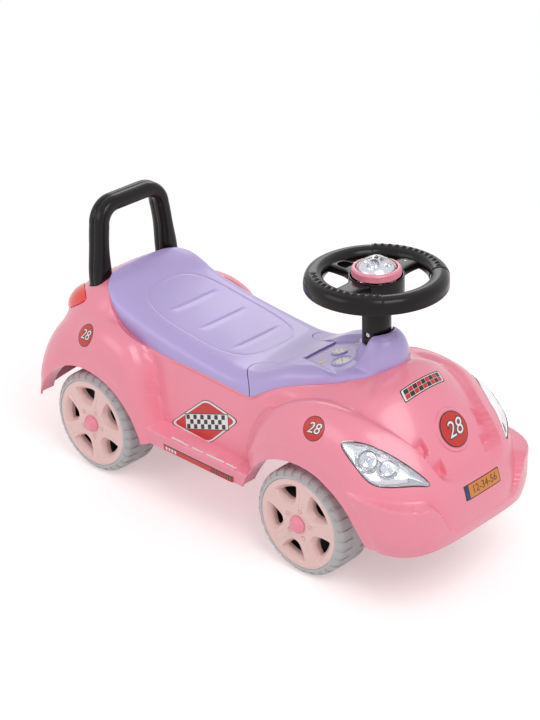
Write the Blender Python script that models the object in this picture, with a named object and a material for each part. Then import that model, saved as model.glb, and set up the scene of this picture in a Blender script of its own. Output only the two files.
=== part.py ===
"""Child's push car: a hard shell body with a lift-up seat over a storage tub, a push handle
behind the seat, steered front wheels and a steering wheel with a light-up push dome.

Metres, +Z up. The car faces -Y and stands on z = 0, its right side is -X, and its plane of
symmetry is x = 0. The origin lies on the ground, halfway along the car.
"""
import math

import bmesh
import bpy
import numpy as np
from mathutils import Matrix, Vector
from mathutils.bvhtree import BVHTree
from mathutils.geometry import tessellate_polygon

# Fits
GAP = 0.0003
WINDOW_GAP = 0.0006
PIN_CLEARANCE = 0.0004
SEAM_GAP = 0.0006
SEAM_LIFT = 0.0012

# Wheels and axles
WHEEL_DIAMETER = 0.142
TYRE_WIDTH = 0.060
WHEEL_OUTER_FACE = 0.118
FRONT_AXLE_Y = -0.1375
WHEELBASE = 0.368
AXLE_DIAMETER = 0.009
REAR_AXLE_Y = FRONT_AXLE_Y + WHEELBASE
AXLE_END_X = 0.1130
AXLE_CLEARANCE = 0.0004
RIM_DIAMETER = 0.1198
COVER_THICKNESS = 0.0035
COVER_RECESS = 0.0010
WINDOW_IN = 0.024
WINDOW_OUT = 0.051
HUB_SPIGOT_RADIUS = 0.0060
HUB_CAP_DIAMETER = 0.023
HUB_CAP_HEIGHT = 0.008
TREAD_LUGS = 30
TREAD_DEPTH = 0.0016
WINDOWS = 5
WINDOW_HALF_ANGLE = 26

# Body shell
WALL = 0.0028
FENDER_HALF_WIDTH = 0.130
NOSE_CENTRE_Y = -0.170
NOSE_LENGTH = 0.160
NOSE_BASE_Z = 0.120
NOSE_HEIGHT = 0.127
FENDER_REAR_LENGTH = 0.148
TAIL_CENTRE_Y = 0.170
TAIL_LENGTH = 0.162
TAIL_HALF_WIDTH = 0.107
TAIL_NECK = 0.0155
TAIL_BASE_Z = 0.130
TAIL_HEIGHT = 0.136
TAIL_TOP_Z = TAIL_BASE_Z + TAIL_HEIGHT
WAIST_HALF_WIDTH = 0.0905
WAIST_LEAN = 0.08
BUMPER_PROUD = 0.0035
BUMPER_LINE_Z = 0.156
PLATE_SILL_Z = 0.113
FRONT_ARCH_RADIUS = 0.107
FRONT_ARCH_CENTRE = (-0.148, 0.055)
REAR_ARCH_RADIUS = 0.101
REAR_ARCH_CENTRE = (0.224, 0.057)
REAR_FENDER_END_Y = 0.3295
RUNNING_BOARD_WIDTH = 0.120
RUNNING_BOARD_TOP = 0.108
LEDGE = 0.009
ROUNDEL_CENTRE = (0.0, -0.278, 0.210)
ROUNDEL_AIM = (0.0, 0.82, -0.57)
ROUNDEL_RADIUS = 0.028
ROUNDEL_RIM = 0.0055
ROUNDEL_PROUD = 0.0014
ROUNDEL_ROOT = 0.0012
GRILLE_AIM = (0.0, 0.82, -0.57)
GRILLE_DEPTH = 0.0012
# Centre x, y, z, half width, half height and lean in degrees
GRILLE_SLOTS = (
    (0.0640, -0.2715, 0.2050, 0.0062, 0.0035, 62),
    (0.0480, -0.2930, 0.1870, 0.0090, 0.0038, 24))

NOSE_STATIONS = 14
SIDE_STATIONS = 8
TAIL_STATIONS = 9
SHELL_ROWS = 12
HEM_HALF_WIDTH = FENDER_HALF_WIDTH - 0.002
HEM_HALF_LENGTH = NOSE_LENGTH - NOSE_CENTRE_Y
HEM_LOW_Z = 0.083
HEM_HEIGHT = ((-0.34, 0.098), (-0.26, 0.091), (-0.05, 0.083), (0.12, 0.083), (0.30, 0.094), (0.34, 0.099))
ARCH_LIP_THICKNESS = 0.0028
ARCH_LIP_DEPTH = 0.022
ARCH_STEPS = 12

# Lamps: the outlines are corner points on the right side of the body
LENS_THICKNESS = 0.0020
DISH_WALL = 0.0012
DISH_DEPTH = 0.016
LAMP_STEPS = 2
LAMP_RINGS = (1.0, 0.8, 0.5, 0.0)
LAMPS = {
    "headlight": {
        "axis": (-0.648, -0.605, 0.463), "reach_in": 0.037, "proud": 0.0, "rim_proud": 0.0,
        "outline": ((-0.1177, -0.2058, 0.2116), (-0.1037, -0.2338, 0.2141), (-0.0864, -0.2716, 0.1986),
                    (-0.0730, -0.3025, 0.1757), (-0.0890, -0.2918, 0.1751), (-0.1151, -0.2563, 0.1730),
                    (-0.1205, -0.2284, 0.1911))},
    "tail": {
        "axis": (-0.60, 0.62, 0.50), "reach_in": 0.105, "proud": 0.004, "rim_proud": 0.0012,
        "outline": ((-0.0882, 0.2625, TAIL_TOP_Z - 0.0330), (-0.0620, 0.2930, TAIL_TOP_Z - 0.0300),
                    (-0.0460, 0.3130, TAIL_TOP_Z - 0.0480), (-0.0480, 0.3260, TAIL_TOP_Z - 0.0730),
                    (-0.0700, 0.3160, TAIL_TOP_Z - 0.0700), (-0.0880, 0.2900, TAIL_TOP_Z - 0.0540))}}

# Seat and dashboard
TOP_WALL = 0.0030
TOP_ROWS = 8
SHOULDER = 0.026
TOP_PROFILE = (
    (-0.200, 0.2900), (-0.190, 0.2965), (-0.184, 0.2930), (-0.176, 0.2720), (-0.150, 0.2635),
    (-0.115, 0.2545), (-0.069, 0.2415), (-0.030, 0.2260), (0.010, 0.2205), (0.040, 0.2225),
    (0.096, 0.2290), (0.150, 0.2370), (0.196, TAIL_TOP_Z - 0.0180), (0.225, TAIL_TOP_Z - 0.0060),
    (0.2515, TAIL_TOP_Z + 0.0015))
SPLIT_LINE = ((0.0, -0.0688), (0.0284, -0.0688), (0.032, -0.062), (0.0466, -0.014), (0.055, -0.007),
              (0.066, -0.008), (0.078, -0.018), (0.0905, -0.034), (0.12, -0.060))
SPLIT_GAP = 0.0006
GROOVES_Y = (0.150, 0.096, 0.040)
GROOVE_HALF_WIDTH = 0.044
GROOVE_HALF_LENGTH = 0.0050
GROOVE_BOW = 0.010
GROOVE_DEPTH = 0.0014
PANEL_DEPTH = 0.0016
BOSS_TOP_Z = 0.284
BOSS_HEIGHT = 0.032
BOSS_BASE_RADIUS = 0.029
BOSS_TOP_RADIUS = 0.0205
BUSH_RADIUS = 0.0075

# Handle
HANDLE_WIDTH = 0.021
HANDLE_BASE_WIDTH = 0.028
HANDLE_DEPTH = 0.027
HANDLE_BASE_HALF_SPAN = 0.0602
HANDLE_TOP_HALF_SPAN = 0.054
HANDLE_BASE_Y = 0.2638
HANDLE_BASE_Z = 0.2563
HANDLE_TOP_Z = 0.3498
HANDLE_FOOT_Z = 0.222
HANDLE_LEAN = 0.076
HANDLE_CORNER_RADIUS = 0.026
HANDLE_SECTION_STEPS = 8
SOCKET_CLEARANCE = 0.0007

# Storage tub under the seat
TUB_INSET = 0.0035
TUB_FRONT_Y = -0.0269
TUB_REAR_Y = 0.150
TUB_FLOOR_Z = 0.0955
TUB_WALL = 0.0025

# Steering: the column leans back a little, the kingpins are upright
STEERING_CENTRE = (-0.155, 0.3586)
COLUMN_TILT = math.radians(2)
COLUMN_AXIS = Vector((0.0, math.sin(COLUMN_TILT), math.cos(COLUMN_TILT)))
STEERING_RADIUS = 0.0865
STEERING_RIM_WIDTH = 0.024
STEERING_RIM_TOP = 0.0182
STEERING_RIM_LOW = -0.0022
HUB_RADIUS = 0.0335
HUB_WALL = 0.0025
HUB_BOTTOM = -0.0190
HUB_TOP = 0.0125
SPOKE_SECTION = ((-0.014, 0.0020), (0.014, 0.0020), (0.012, 0.0115), (-0.012, 0.0115))
COLUMN_RADIUS = 0.01775
COLUMN_WALL = 0.0025
SCREW_HOLE_RADIUS = 0.0038
SCREW_HOLE_Z = 0.297
SHAFT_RADIUS = 0.0040
SHAFT_FOOT_Z = 0.080
SHAFT_PROUD = 0.0019
CRANK_ARM = 0.026
CRANK_HALF_WIDTH = 0.0068
CRANK_Z = 0.1195
CRANK_THICKNESS = 0.0050
LINK_PIN_RADIUS = 0.0030
OPEN_PIN_CLEARANCE = 0.0008
TIE_ROD_Z = 0.1145
TIE_ROD_THICKNESS = 0.0040
TIE_ROD_HALF_WIDTH = 0.0052
BEAM_Z = 0.086
BEAM_TOP_Z = 0.108
BEAM_HALF_WIDTH = 0.018
BEAM_FOOT_RADIUS = 0.012
KINGPIN_X = 0.0425
KINGPIN_RADIUS = 0.0035
KINGPIN_BOSS_RADIUS = 0.0095
KINGPIN_LOW_Z = 0.0775
KNUCKLE_LOW_Z = 0.0585
KNUCKLE_ARM = 0.0050
REAR_BEAM_HALF_WIDTH = 0.050
REAR_BEAM_TOP_Z = 0.142

# Light unit in the steering wheel's hub, with heights along the column from the rim's plane
HUB_RING_RADIUS = 0.030
HUB_RING_HEIGHT = 0.010
DOME_RADIUS = 0.0245
DOME_HEIGHT = 0.016
BOARD_TOP = -0.0040
SPRING_LENGTH = 0.0120
SPRING_RADIUS = 0.0045
SPRING_WIRE = 0.0005
CELL_RADIUS = 0.00525
CELL_LENGTH = 0.0445

# Upper line of the pink shell, from the front of the dashboard round to the back of the
# seat: y, half width, height
SEAM = (
    (-0.1990, 0.0000, 0.2668),
    (-0.1975, 0.0100, 0.2658),
    (-0.1930, 0.0200, 0.2635),
    (-0.1865, 0.0300, 0.2595),
    (-0.1775, 0.0400, 0.2550),
    (-0.1600, 0.0510, 0.2488),
    (-0.1430, 0.0610, 0.2428),
    (-0.1180, 0.0715, 0.2365),
    (-0.0900, 0.0800, 0.2280),
    (-0.0720, 0.0850, 0.2200),
    (-0.0560, 0.0885, 0.2105),
    (-0.0340, 0.0905, 0.1955),
    (0.0080, 0.0905, 0.1975),
    (0.0500, 0.0905, 0.2000),
    (0.1200, 0.0905, 0.2005),
    (0.1550, 0.0900, 0.2035),
    (0.1900, 0.0890, 0.2130),
    (0.2130, 0.0860, TAIL_TOP_Z - 0.0330),
    (0.2260, 0.0810, TAIL_TOP_Z - 0.0190),
    (0.2360, 0.0740, TAIL_TOP_Z - 0.0100),
    (0.2450, 0.0600, TAIL_TOP_Z - 0.0035),
    (0.2500, 0.0400, TAIL_TOP_Z - 0.0010),
    (0.2515, 0.0000, TAIL_TOP_Z + 0.0005),
)


def smooth_step(low, high, value):
    """0 below low, 1 above high, and an even S between them."""
    share = np.clip((value - low) / (high - low), 0.0, 1.0)
    return share * share * (3.0 - 2.0 * share)


def smooth_min(first, second, blend):
    """The smaller of two fields, with a fillet as wide as blend where they cross."""
    share = np.maximum(blend - np.abs(first - second), 0.0) / blend
    return np.minimum(first, second) - share * share * blend * 0.25


def smooth_max(first, second, blend):
    return -smooth_min(-first, -second, blend)


def curve_through(knots, value):
    """A smooth curve through (value, result) knots that never overshoots them."""
    x = np.array([knot[0] for knot in knots])
    y = np.array([knot[1] for knot in knots])
    step = np.diff(x)
    slope = np.diff(y) / step
    tangent = np.concatenate([slope[:1], (slope[:-1] + slope[1:]) / 2, slope[-1:]])
    turning = np.concatenate([[False], slope[:-1] * slope[1:] <= 0, [False]])
    tangent[turning] = 0.0
    most = 3.0 * np.minimum(np.abs(np.append(slope, slope[-1])), np.abs(np.append(slope[0], slope)))
    tangent = np.clip(tangent, -most, most)
    value = np.clip(value, x[0], x[-1])
    index = np.clip(np.searchsorted(x, value, side="right") - 1, 0, len(step) - 1)
    t = (value - x[index]) / step[index]
    h = step[index]
    return (
        y[index] * (1 + 2 * t) * (1 - t) ** 2
        + h * tangent[index] * t * (1 - t) ** 2
        + y[index + 1] * t * t * (3 - 2 * t)
        + h * tangent[index + 1] * t * t * (t - 1)
    )


# The outside of the body, as a field that is negative inside

def nose_field(x, y, z):
    """Front fenders, lamps and nose: one rounded block, longer behind than in front."""
    length = np.where(y < NOSE_CENTRE_Y, NOSE_LENGTH, FENDER_REAR_LENGTH)
    height = np.where(z > NOSE_BASE_Z, NOSE_HEIGHT, 0.080)
    profile = ((y - NOSE_CENTRE_Y) / length) ** 2 + ((z - NOSE_BASE_Z) / height) ** 2
    squareness = 3.0 + smooth_step(-0.27, -0.20, y)
    across = (x / FENDER_HALF_WIDTH) ** squareness
    return ((across + profile ** (squareness / 2)) ** (1 / squareness) - 1) * 0.12


def bumper_field(x, y, z):
    """The proud band under the lamps, squarer in plan than the nose above it."""
    ahead = np.minimum(y + 0.200, 0.0) / 0.130
    tuck = 1.0 - 0.55 * np.maximum((0.122 - z) / 0.040, 0.0) ** 2 * 0.12
    plan = (((x / FENDER_HALF_WIDTH) ** 4 + ahead ** 4) ** 0.25 - tuck) * FENDER_HALF_WIDTH
    sill = smooth_step(0.055, 0.088, x)
    line = PLATE_SILL_Z + (BUMPER_LINE_Z - PLATE_SILL_Z) * sill
    top = smooth_max(plan - BUMPER_PROUD * 0.35, (z - line) * 0.8, 0.006)
    return smooth_max(top, y + 0.16, 0.006)


# Height of the body on its centre line: bonnet tip, bonnet, under the dashboard, under the seat
SPINE = (
    (-0.3030, 0.120), (-0.3000, 0.145), (-0.2960, 0.1655), (-0.2900, 0.187), (-0.2780, 0.2095),
    (-0.2650, 0.2255), (-0.2500, 0.2395), (-0.2300, 0.2540), (-0.2150, 0.2620), (-0.1990, 0.2668),
    (-0.1775, 0.2635), (-0.0900, 0.2620), (-0.0560, 0.2515), (-0.0340, 0.2390), (0.1200, 0.2435),
    (0.1550, 0.2465), (0.1900, 0.2550), (0.2130, 0.2720))
BONNET_CROWN = 5.3


def bonnet_field(x, y, z):
    """The barrel between the fenders: bonnet and sides, up to the dashboard and the seat."""
    top = curve_through(SPINE, y)
    fall = (curve_through(SPINE, y + 0.001) - curve_through(SPINE, y - 0.001)) / 0.002
    roof = (z - top + BONNET_CROWN * x * x) / np.sqrt(1 + fall * fall)
    wall = x - (WAIST_HALF_WIDTH + (0.19 - z) * WAIST_LEAN)
    ends = np.maximum(y - 0.215, -0.302 - y)
    return smooth_max(smooth_max(roof, wall, 0.006), ends, 0.006)


def tail_field(x, y, z):
    height = np.where(z > TAIL_BASE_Z, TAIL_HEIGHT, 0.090)
    profile = np.abs((y - TAIL_CENTRE_Y) / TAIL_LENGTH) ** 3 + np.abs((z - TAIL_BASE_Z) / height) ** 3
    width = TAIL_HALF_WIDTH - TAIL_NECK * smooth_step(0.270, 0.160, y)
    value = (((x / width) ** 4 + profile ** (4 / 3)) ** 0.25 - 1) * 0.12
    return smooth_max(value, 0.10 - y, 0.020)


def rear_fender_field(x, y, z):
    """A flared arch: it swells from the body to its edge round the rear wheel."""
    dy = y - REAR_ARCH_CENTRE[0]
    dz = z - REAR_ARCH_CENTRE[1]
    radius = np.hypot(dy, dz)
    angle = np.degrees(np.arctan2(dz, dy))
    outer = curve_through(
        ((-30, 0.108), (0, 0.113), (20, 0.124), (38, 0.1433), (60, 0.160), (90, 0.170), (109, 0.171),
         (123, 0.159), (140, 0.132), (170, 0.120), (200, 0.118)), angle)
    inner = 0.092
    rise = np.maximum((radius - inner) / (outer - inner), 0.0)
    flare = np.maximum((x - 0.075) / (FENDER_HALF_WIDTH - 0.075), 0.0)
    value = (np.sqrt(rise ** 2 + flare ** 2) - 1) * 0.05
    return smooth_max(value, y - REAR_FENDER_END_Y, 0.006)


def running_board_field(x, y, z):
    side = x - RUNNING_BOARD_WIDTH - (z - 0.095) * 0.1
    ends = np.abs(y - 0.030) - 0.110
    return smooth_max(smooth_max(side, z - RUNNING_BOARD_TOP, 0.005), ends, 0.004)


def body_field(x, y, z):
    x = np.abs(x)
    value = nose_field(x, y, z)
    # Inside the fenders' crest the surface drops into a valley, and ahead into a groove that
    # runs round the tip of the bonnet.
    crest = curve_through(
        ((-0.330, 0.055), (-0.300, 0.0605), (-0.267, 0.0680), (-0.245, 0.0780), (-0.227, 0.0870),
         (-0.190, 0.0950), (-0.145, 0.0990), (-0.080, 0.1060)), y)
    depth = curve_through(
        ((-0.300, 0.0100), (-0.267, 0.0090), (-0.235, 0.0060), (-0.190, 0.0100), (-0.100, 0.0100)), y)
    slope = curve_through(((-0.270, 0.006), (-0.235, 0.012), (-0.190, 0.028), (-0.080, 0.030)), y)
    lip = curve_through(((0.0, 0.1650), (0.034, 0.1670), (0.052, 0.1745), (0.0605, 0.1830),
                         (0.080, 0.200)), x)
    share = np.clip((crest - x) / slope, 0.0, 1.0)
    inside = share * share * (3 - 2 * share)
    value = value + depth * inside * smooth_step(-0.003, 0.003, z - lip)
    value = smooth_min(value, bonnet_field(x, y, z), 0.004)
    value = smooth_min(value, bumper_field(x, y, z), 0.004)
    value = smooth_min(value, tail_field(x, y, z), 0.010)
    value = smooth_min(value, rear_fender_field(x, y, z), 0.006)
    return smooth_min(value, running_board_field(x, y, z), 0.003)


def surface_hits(origin, direction, field, level=0.0, far=0.30):
    """The outermost point of each ray where the field crosses the level, from outside."""
    steps = np.linspace(far, 0.005, 170)
    outside = np.full(len(origin), far)
    inside = np.full(len(origin), np.nan)
    for step in steps:
        point = origin + direction * step
        now_in = (field(*point.T) < level) & np.isnan(inside)
        inside[now_in] = step
        outside[np.isnan(inside)] = step
    inside = np.where(np.isnan(inside), 0.005, inside)
    for _ in range(24):
        middle = (outside + inside) / 2
        point = origin + direction * middle[:, None]
        is_in = field(*point.T) < level
        inside = np.where(is_in, middle, inside)
        outside = np.where(is_in, outside, middle)
    return origin + direction * ((outside + inside) / 2)[:, None]


def seam_point(share):
    """A point of the upper line, from 0 at the front to 1 at the back."""
    seam = np.array(SEAM)
    run = np.concatenate([[0], np.cumsum(np.linalg.norm(np.diff(seam, axis=0), axis=1))])
    run = run / run[-1]
    return np.stack([np.interp(share, run, seam[:, 1]), np.interp(share, run, seam[:, 0]),
                     np.interp(share, run, seam[:, 2])], axis=-1)


def hem_point(angle):
    """The lower line of the shell in plan, by the angle from the nose (0) to the tail (pi)."""
    across = np.sin(angle)
    along = -np.cos(angle)
    plan = (np.abs(across / HEM_HALF_WIDTH) ** 4 + np.abs(along / HEM_HALF_LENGTH) ** 4) ** -0.25
    x = across * plan
    y = along * plan
    return np.stack([x, y, curve_through(HEM_HEIGHT, y)], axis=-1)


def shell_stations():
    """(seam point, hem point) pairs round the right half of the car, nose to tail."""
    front = np.linspace(0.0, 0.40, NOSE_STATIONS, endpoint=False)
    side = np.linspace(0.40, 0.78, SIDE_STATIONS, endpoint=False)
    back = np.linspace(0.78, 1.0, TAIL_STATIONS)
    shares = np.concatenate([front, side, back])
    hem_angle = curve_through(((0.0, 0.0), (0.12, 0.20), (0.24, 0.46), (0.40, 1.25), (0.50, 1.62),
                               (0.66, 2.16), (0.78, 2.60), (0.90, 2.90), (1.0, math.pi)), shares)
    return seam_point(shares), hem_point(hem_angle)


def shell_rows(count, level):
    """Loops of points from the upper line down to the hem, each round the right half."""
    seam, hem = shell_stations()
    centre_y = np.clip((seam[:, 1] + hem[:, 1]) / 2, -0.140, 0.200)
    centre = np.stack([0 * centre_y, centre_y, 0 * centre_y + 0.125], axis=-1)
    rows = []
    for share in np.linspace(0.0, 1.0, count):
        target = seam + (hem - seam) * share
        bulge = (target - centre) * (1.6 * share * (1 - share))
        aim = target + bulge - centre
        aim = aim / np.linalg.norm(aim, axis=1, keepdims=True)
        rows.append(surface_hits(centre, aim, body_field, level))
    rows[0] = seam
    return rows


def full_loop(half):
    """A half loop, nose to tail on the right, closed with its mirror image."""
    other = half[-2:0:-1] * np.array([-1.0, 1.0, 1.0])
    return np.concatenate([half, other])


def ledge_loop(seam, inset):
    """The seam moved inwards in plan."""
    run = np.gradient(seam[:, :2], axis=0)
    run[0] = (1.0, 0.0)
    run[-1] = (-1.0, 0.0)
    side = np.stack([-run[:, 1], run[:, 0]], axis=-1)
    side = side / np.linalg.norm(side, axis=1, keepdims=True)
    moved = seam.copy()
    moved[:, :2] += side * inset
    return moved


# Tools for meshes

def mesh_object(name, points, faces, merge=1e-6):
    """A closed mesh object whose faces point outwards."""
    mesh = bpy.data.meshes.new(name)
    mesh.from_pydata([tuple(map(float, point)) for point in points], [], faces)
    work = bmesh.new()
    work.from_mesh(mesh)
    bmesh.ops.remove_doubles(work, verts=work.verts, dist=merge)
    bmesh.ops.dissolve_degenerate(work, edges=work.edges, dist=merge)
    bmesh.ops.recalc_face_normals(work, faces=work.faces)
    work.to_mesh(mesh)
    work.free()
    item = bpy.data.objects.new(name, mesh)
    bpy.context.scene.collection.objects.link(item)
    return item


def loft(name, loops, ring=False, caps=False):
    """Quads between loops of equal length; ring joins the last to the first, caps fills both."""
    count = len(loops[0])
    faces = []
    for row in range(len(loops) if ring else len(loops) - 1):
        below = row * count
        above = (row + 1) % len(loops) * count
        for index in range(count):
            after = (index + 1) % count
            faces.append((below + index, below + after, above + after, above + index))
    if caps:
        last = (len(loops) - 1) * count
        faces.append(tuple(range(count)))
        faces.append(tuple(range(last, last + count)))
    return mesh_object(name, np.concatenate(loops), faces)


def turned(name, profile, segments, ring=False, axis=(0, 0, 1)):
    """A profile of (radius, height) turned round an axis through the origin; a profile that is
    not a ring starts and ends on the axis."""
    angles = np.arange(segments) * 2 * math.pi / segments
    turn = np.array(Vector((0, 0, 1)).rotation_difference(Vector(axis)).to_matrix())
    loops = []
    for radius, height in profile:
        circle = np.stack([radius * np.cos(angles), radius * np.sin(angles), 0 * angles + height], 1)
        loops.append(circle @ turn.T)
    return loft(name, loops, ring=ring)


def rod(name, radius, start, end, segments=16):
    """A straight round bar between two points."""
    start = Vector(start)
    along = Vector(end) - start
    length = along.length
    item = turned(name, [(0, 0), (radius, 0), (radius, length), (0, length)], segments, axis=along)
    shift(item, start)
    return item


def prism(name, outline, low, high, plane="xy"):
    """A plan outline of (a, b) points raised along the third axis."""
    order = {"xy": (0, 1, 2), "xz": (0, 2, 1), "yz": (1, 2, 0)}[plane]
    loops = []
    for level in (low, high):
        loop = np.zeros((len(outline), 3))
        loop[:, order[0]] = [point[0] for point in outline]
        loop[:, order[1]] = [point[1] for point in outline]
        loop[:, order[2]] = level
        loops.append(loop)
    return loft(name, loops, caps=True)


def arc(centre, radius, start, end, steps):
    """Points on an arc, in degrees."""
    return [(centre[0] + radius * math.cos(math.radians(angle)),
             centre[1] + radius * math.sin(math.radians(angle)))
            for angle in np.linspace(start, end, steps)]


def shift(item, offset):
    item.data.transform(Matrix.Translation(Vector(offset)))


def combine(item, other, operation):
    """Adds or cuts with another object, which stays as a hidden guide. The thin shell needs the
    manifold solver: the exact one loses its wall where a lip joins it."""
    other.hide_render = True
    other.display_type = "WIRE"
    step = item.modifiers.new(other.name, "BOOLEAN")
    step.operation = operation
    step.object = other
    step.solver = "MANIFOLD" if item.name == "body_shell" else "EXACT"


def cut(item, *cutters):
    for cutter in cutters:
        combine(item, cutter, "DIFFERENCE")


def join(item, *others):
    for other in others:
        combine(item, other, "UNION")


def finish_with(item, tint):
    item.data.materials.clear()
    item.data.materials.append(tint)
    item.data.shade_smooth()
    item.data.set_sharp_from_angle(angle=math.radians(35))


def material(name, colour, roughness, metallic=0.0, see_through=0.0):
    tint = bpy.data.materials.new(name)
    tint.use_nodes = True
    shader = tint.node_tree.nodes["Principled BSDF"]
    shader.inputs["Base Color"].default_value = (*colour, 1.0)
    shader.inputs["Roughness"].default_value = roughness
    shader.inputs["Metallic"].default_value = metallic
    shader.inputs["Transmission Weight"].default_value = see_through
    tint.diffuse_color = (*colour, 1.0)
    return tint


# Details laid on a moulded surface

def skin_of(item):
    """The faces of an item's mesh, as a tree that rays can be cast at."""
    work = bmesh.new()
    work.from_mesh(item.data)
    tree = BVHTree.FromBMesh(work)
    work.free()
    return tree


def laid_on(tree, points, aim, lift):
    """Points carried along aim to the surface, then lifted off it; a lift below 0 sinks them."""
    aim = Vector(aim).normalized()
    laid = []
    for point in points:
        hit = tree.ray_cast(Vector(point) - aim * 0.05, aim)[0]
        laid.append(hit - aim * lift)
    return np.array(laid)


def recess_cutter(name, tree, outline, aim, depth):
    """Cuts a shallow pocket with a floor that follows the surface."""
    return loft(name, [laid_on(tree, outline, aim, -depth), laid_on(tree, outline, aim, 0.010)], caps=True)


def across_and_up(aim):
    """Two directions square to an aim, the first one level."""
    aim = Vector(aim).normalized()
    level = aim.cross(Vector((0, 0, 1))).normalized()
    return level, level.cross(aim)


def roundel_ring(tree):
    """The raised ring on the bonnet, which lies on its curve."""
    level, upward = across_and_up(ROUNDEL_AIM)
    loops = []
    inner = ROUNDEL_RADIUS - ROUNDEL_RIM
    for radius, lift in ((inner, -ROUNDEL_ROOT), (inner, ROUNDEL_PROUD),
                         (ROUNDEL_RADIUS - 0.001, ROUNDEL_PROUD), (ROUNDEL_RADIUS, -ROUNDEL_ROOT)):
        circle = arc((0, 0), radius, 0, 360, 25)[:-1]
        points = [Vector(ROUNDEL_CENTRE) + level * a + upward * b for a, b in circle]
        loops.append(laid_on(tree, points, ROUNDEL_AIM, lift))
    return loft("roundel_ring", loops, ring=True)


def grille_slots(tree):
    """The pockets in the groove on each side of the bonnet's tip."""
    level, upward = across_and_up(GRILLE_AIM)
    cutters = []
    for side in (-1, 1):
        for index, (x, y, z, half_width, half_height, lean) in enumerate(GRILLE_SLOTS):
            turn = math.radians(side * lean)
            flat = half_width - half_height
            outline = stadium((-flat, 0), (flat, 0), half_height, 4)
            points = []
            for a, b in outline:
                along = a * math.cos(turn) - b * math.sin(turn)
                rise = a * math.sin(turn) + b * math.cos(turn)
                points.append(Vector((side * x, y, z)) + level * along + upward * rise)
            name = f"cut_slot_{side}_{index}"
            cutters.append(recess_cutter(name, tree, points, GRILLE_AIM, GRILLE_DEPTH))
    return cutters


# Body shell

def make_body_shell():
    rows = shell_rows(SHELL_ROWS, 0.0)
    seam = rows[0]
    inner = shell_rows(SHELL_ROWS, -WALL)
    drop = np.array([0.0, 0.0, -WALL])
    under = [ledge_loop(seam, WALL) + drop, ledge_loop(seam, LEDGE) + drop]
    loops = [ledge_loop(seam, LEDGE)] + rows + inner[:0:-1] + under
    shell = loft("body_shell", [full_loop(loop) for loop in loops], ring=True)
    skin = skin_of(shell)
    for name, centre, radius in (("front_arch", FRONT_ARCH_CENTRE, FRONT_ARCH_RADIUS),
                                 ("rear_arch", REAR_ARCH_CENTRE, REAR_ARCH_RADIUS)):
        arch = rod(f"cut_{name}", radius, (-0.2, *centre), (0.2, *centre), 44)
        cut(shell, arch)
    for side in (-1, 1):
        for name, centre, radius in (("front", FRONT_ARCH_CENTRE, FRONT_ARCH_RADIUS),
                                     ("rear", REAR_ARCH_CENTRE, REAR_ARCH_RADIUS)):
            join(shell, arch_lip(f"lip_{name}_{side}", side, centre, radius))
        cut(shell, lamp_window("headlight", side), lamp_window("tail", side))
        cut(shell, handle_socket(side))
    join(shell, roundel_ring(skin))
    cut(shell, *grille_slots(skin))
    return shell


def arch_lip(name, side, centre, radius):
    """The flange that turns inwards round a wheel arch, from hem to hem."""
    foot = math.degrees(math.asin((HEM_LOW_Z + 0.006 - centre[1]) / radius))
    angles = np.radians(np.linspace(foot, 180 - foot, ARCH_STEPS))
    middle = radius + ARCH_LIP_THICKNESS / 2
    y = centre[0] + middle * np.cos(angles)
    z = centre[1] + middle * np.sin(angles)
    start = np.stack([0 * y, y, z], axis=-1)
    outward = np.tile(np.array([1.0, 0.0, 0.0]), (len(y), 1))
    outer_x = surface_hits(start, outward, body_field, far=0.16)[:, 0]
    loops = []
    for angle, reach in zip(angles, outer_x):
        loop = []
        near, far = radius - 0.0004, radius + ARCH_LIP_THICKNESS
        edge, back = reach - 0.0012, reach - ARCH_LIP_DEPTH
        for distance, x in ((near, edge), (far, edge), (far, back), (near, back)):
            loop.append((side * x, centre[0] + distance * math.cos(angle),
                         centre[1] + distance * math.sin(angle)))
        loops.append(np.array(loop))
    return loft(name, loops, caps=True)


# Lamps: windows, lenses and dishes share one outline for each lamp

def lamp_axes(kind):
    """Along the lamp's axis, and across it."""
    along = np.array(LAMPS[kind]["axis"])
    along = along / np.linalg.norm(along)
    across = np.cross(along, (0.0, 0.0, 1.0))
    across = across / np.linalg.norm(across)
    return along, across, np.cross(across, along)


def lamp_outline(kind, grow=0.0):
    """A smooth closed curve through the lamp's corner points, on a plane across its axis."""
    along, across, upward = lamp_axes(kind)
    knots = np.array(LAMPS[kind]["outline"])
    flat = np.stack([knots @ across, knots @ upward], axis=1)
    points = []
    count = len(flat)
    for index in range(count):
        before, here, after, beyond = (flat[(index + step) % count] for step in (-1, 0, 1, 2))
        for share in np.arange(LAMP_STEPS) / LAMP_STEPS:
            points.append(0.5 * (2 * here + (after - before) * share
                                 + (2 * before - 5 * here + 4 * after - beyond) * share ** 2
                                 + (3 * here - before - 3 * after + beyond) * share ** 3))
    points = np.array(points)
    tangent = np.roll(points, -1, axis=0) - np.roll(points, 1, axis=0)
    normal = np.stack([tangent[:, 1], -tangent[:, 0]], axis=1)
    normal = normal / np.linalg.norm(normal, axis=1, keepdims=True)
    if np.sum(normal * (points - points.mean(axis=0))) < 0:
        normal = -normal
    return points + normal * grow


def lamp_deep(kind):
    """Where the lamp's pocket starts along its axis, below its outline's lowest corner."""
    along = lamp_axes(kind)[0]
    return np.min(np.array(LAMPS[kind]["outline"]) @ along) - LAMPS[kind]["reach_in"]


def in_space(kind, flat, depth):
    along, across, upward = lamp_axes(kind)
    return flat[:, :1] * across + flat[:, 1:] * upward + np.reshape(depth, (-1, 1)) * along


def lamp_surface(kind, flat):
    """Where the lamp's axis direction meets the body, for points of the outline's plane."""
    along = lamp_axes(kind)[0]
    start = in_space(kind, flat, lamp_deep(kind))
    aim = np.tile(along, (len(flat), 1))
    return surface_hits(start, aim, body_field, far=0.12) @ along


def mirrored(points, side):
    return points * np.array([-side, 1.0, 1.0])


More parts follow.
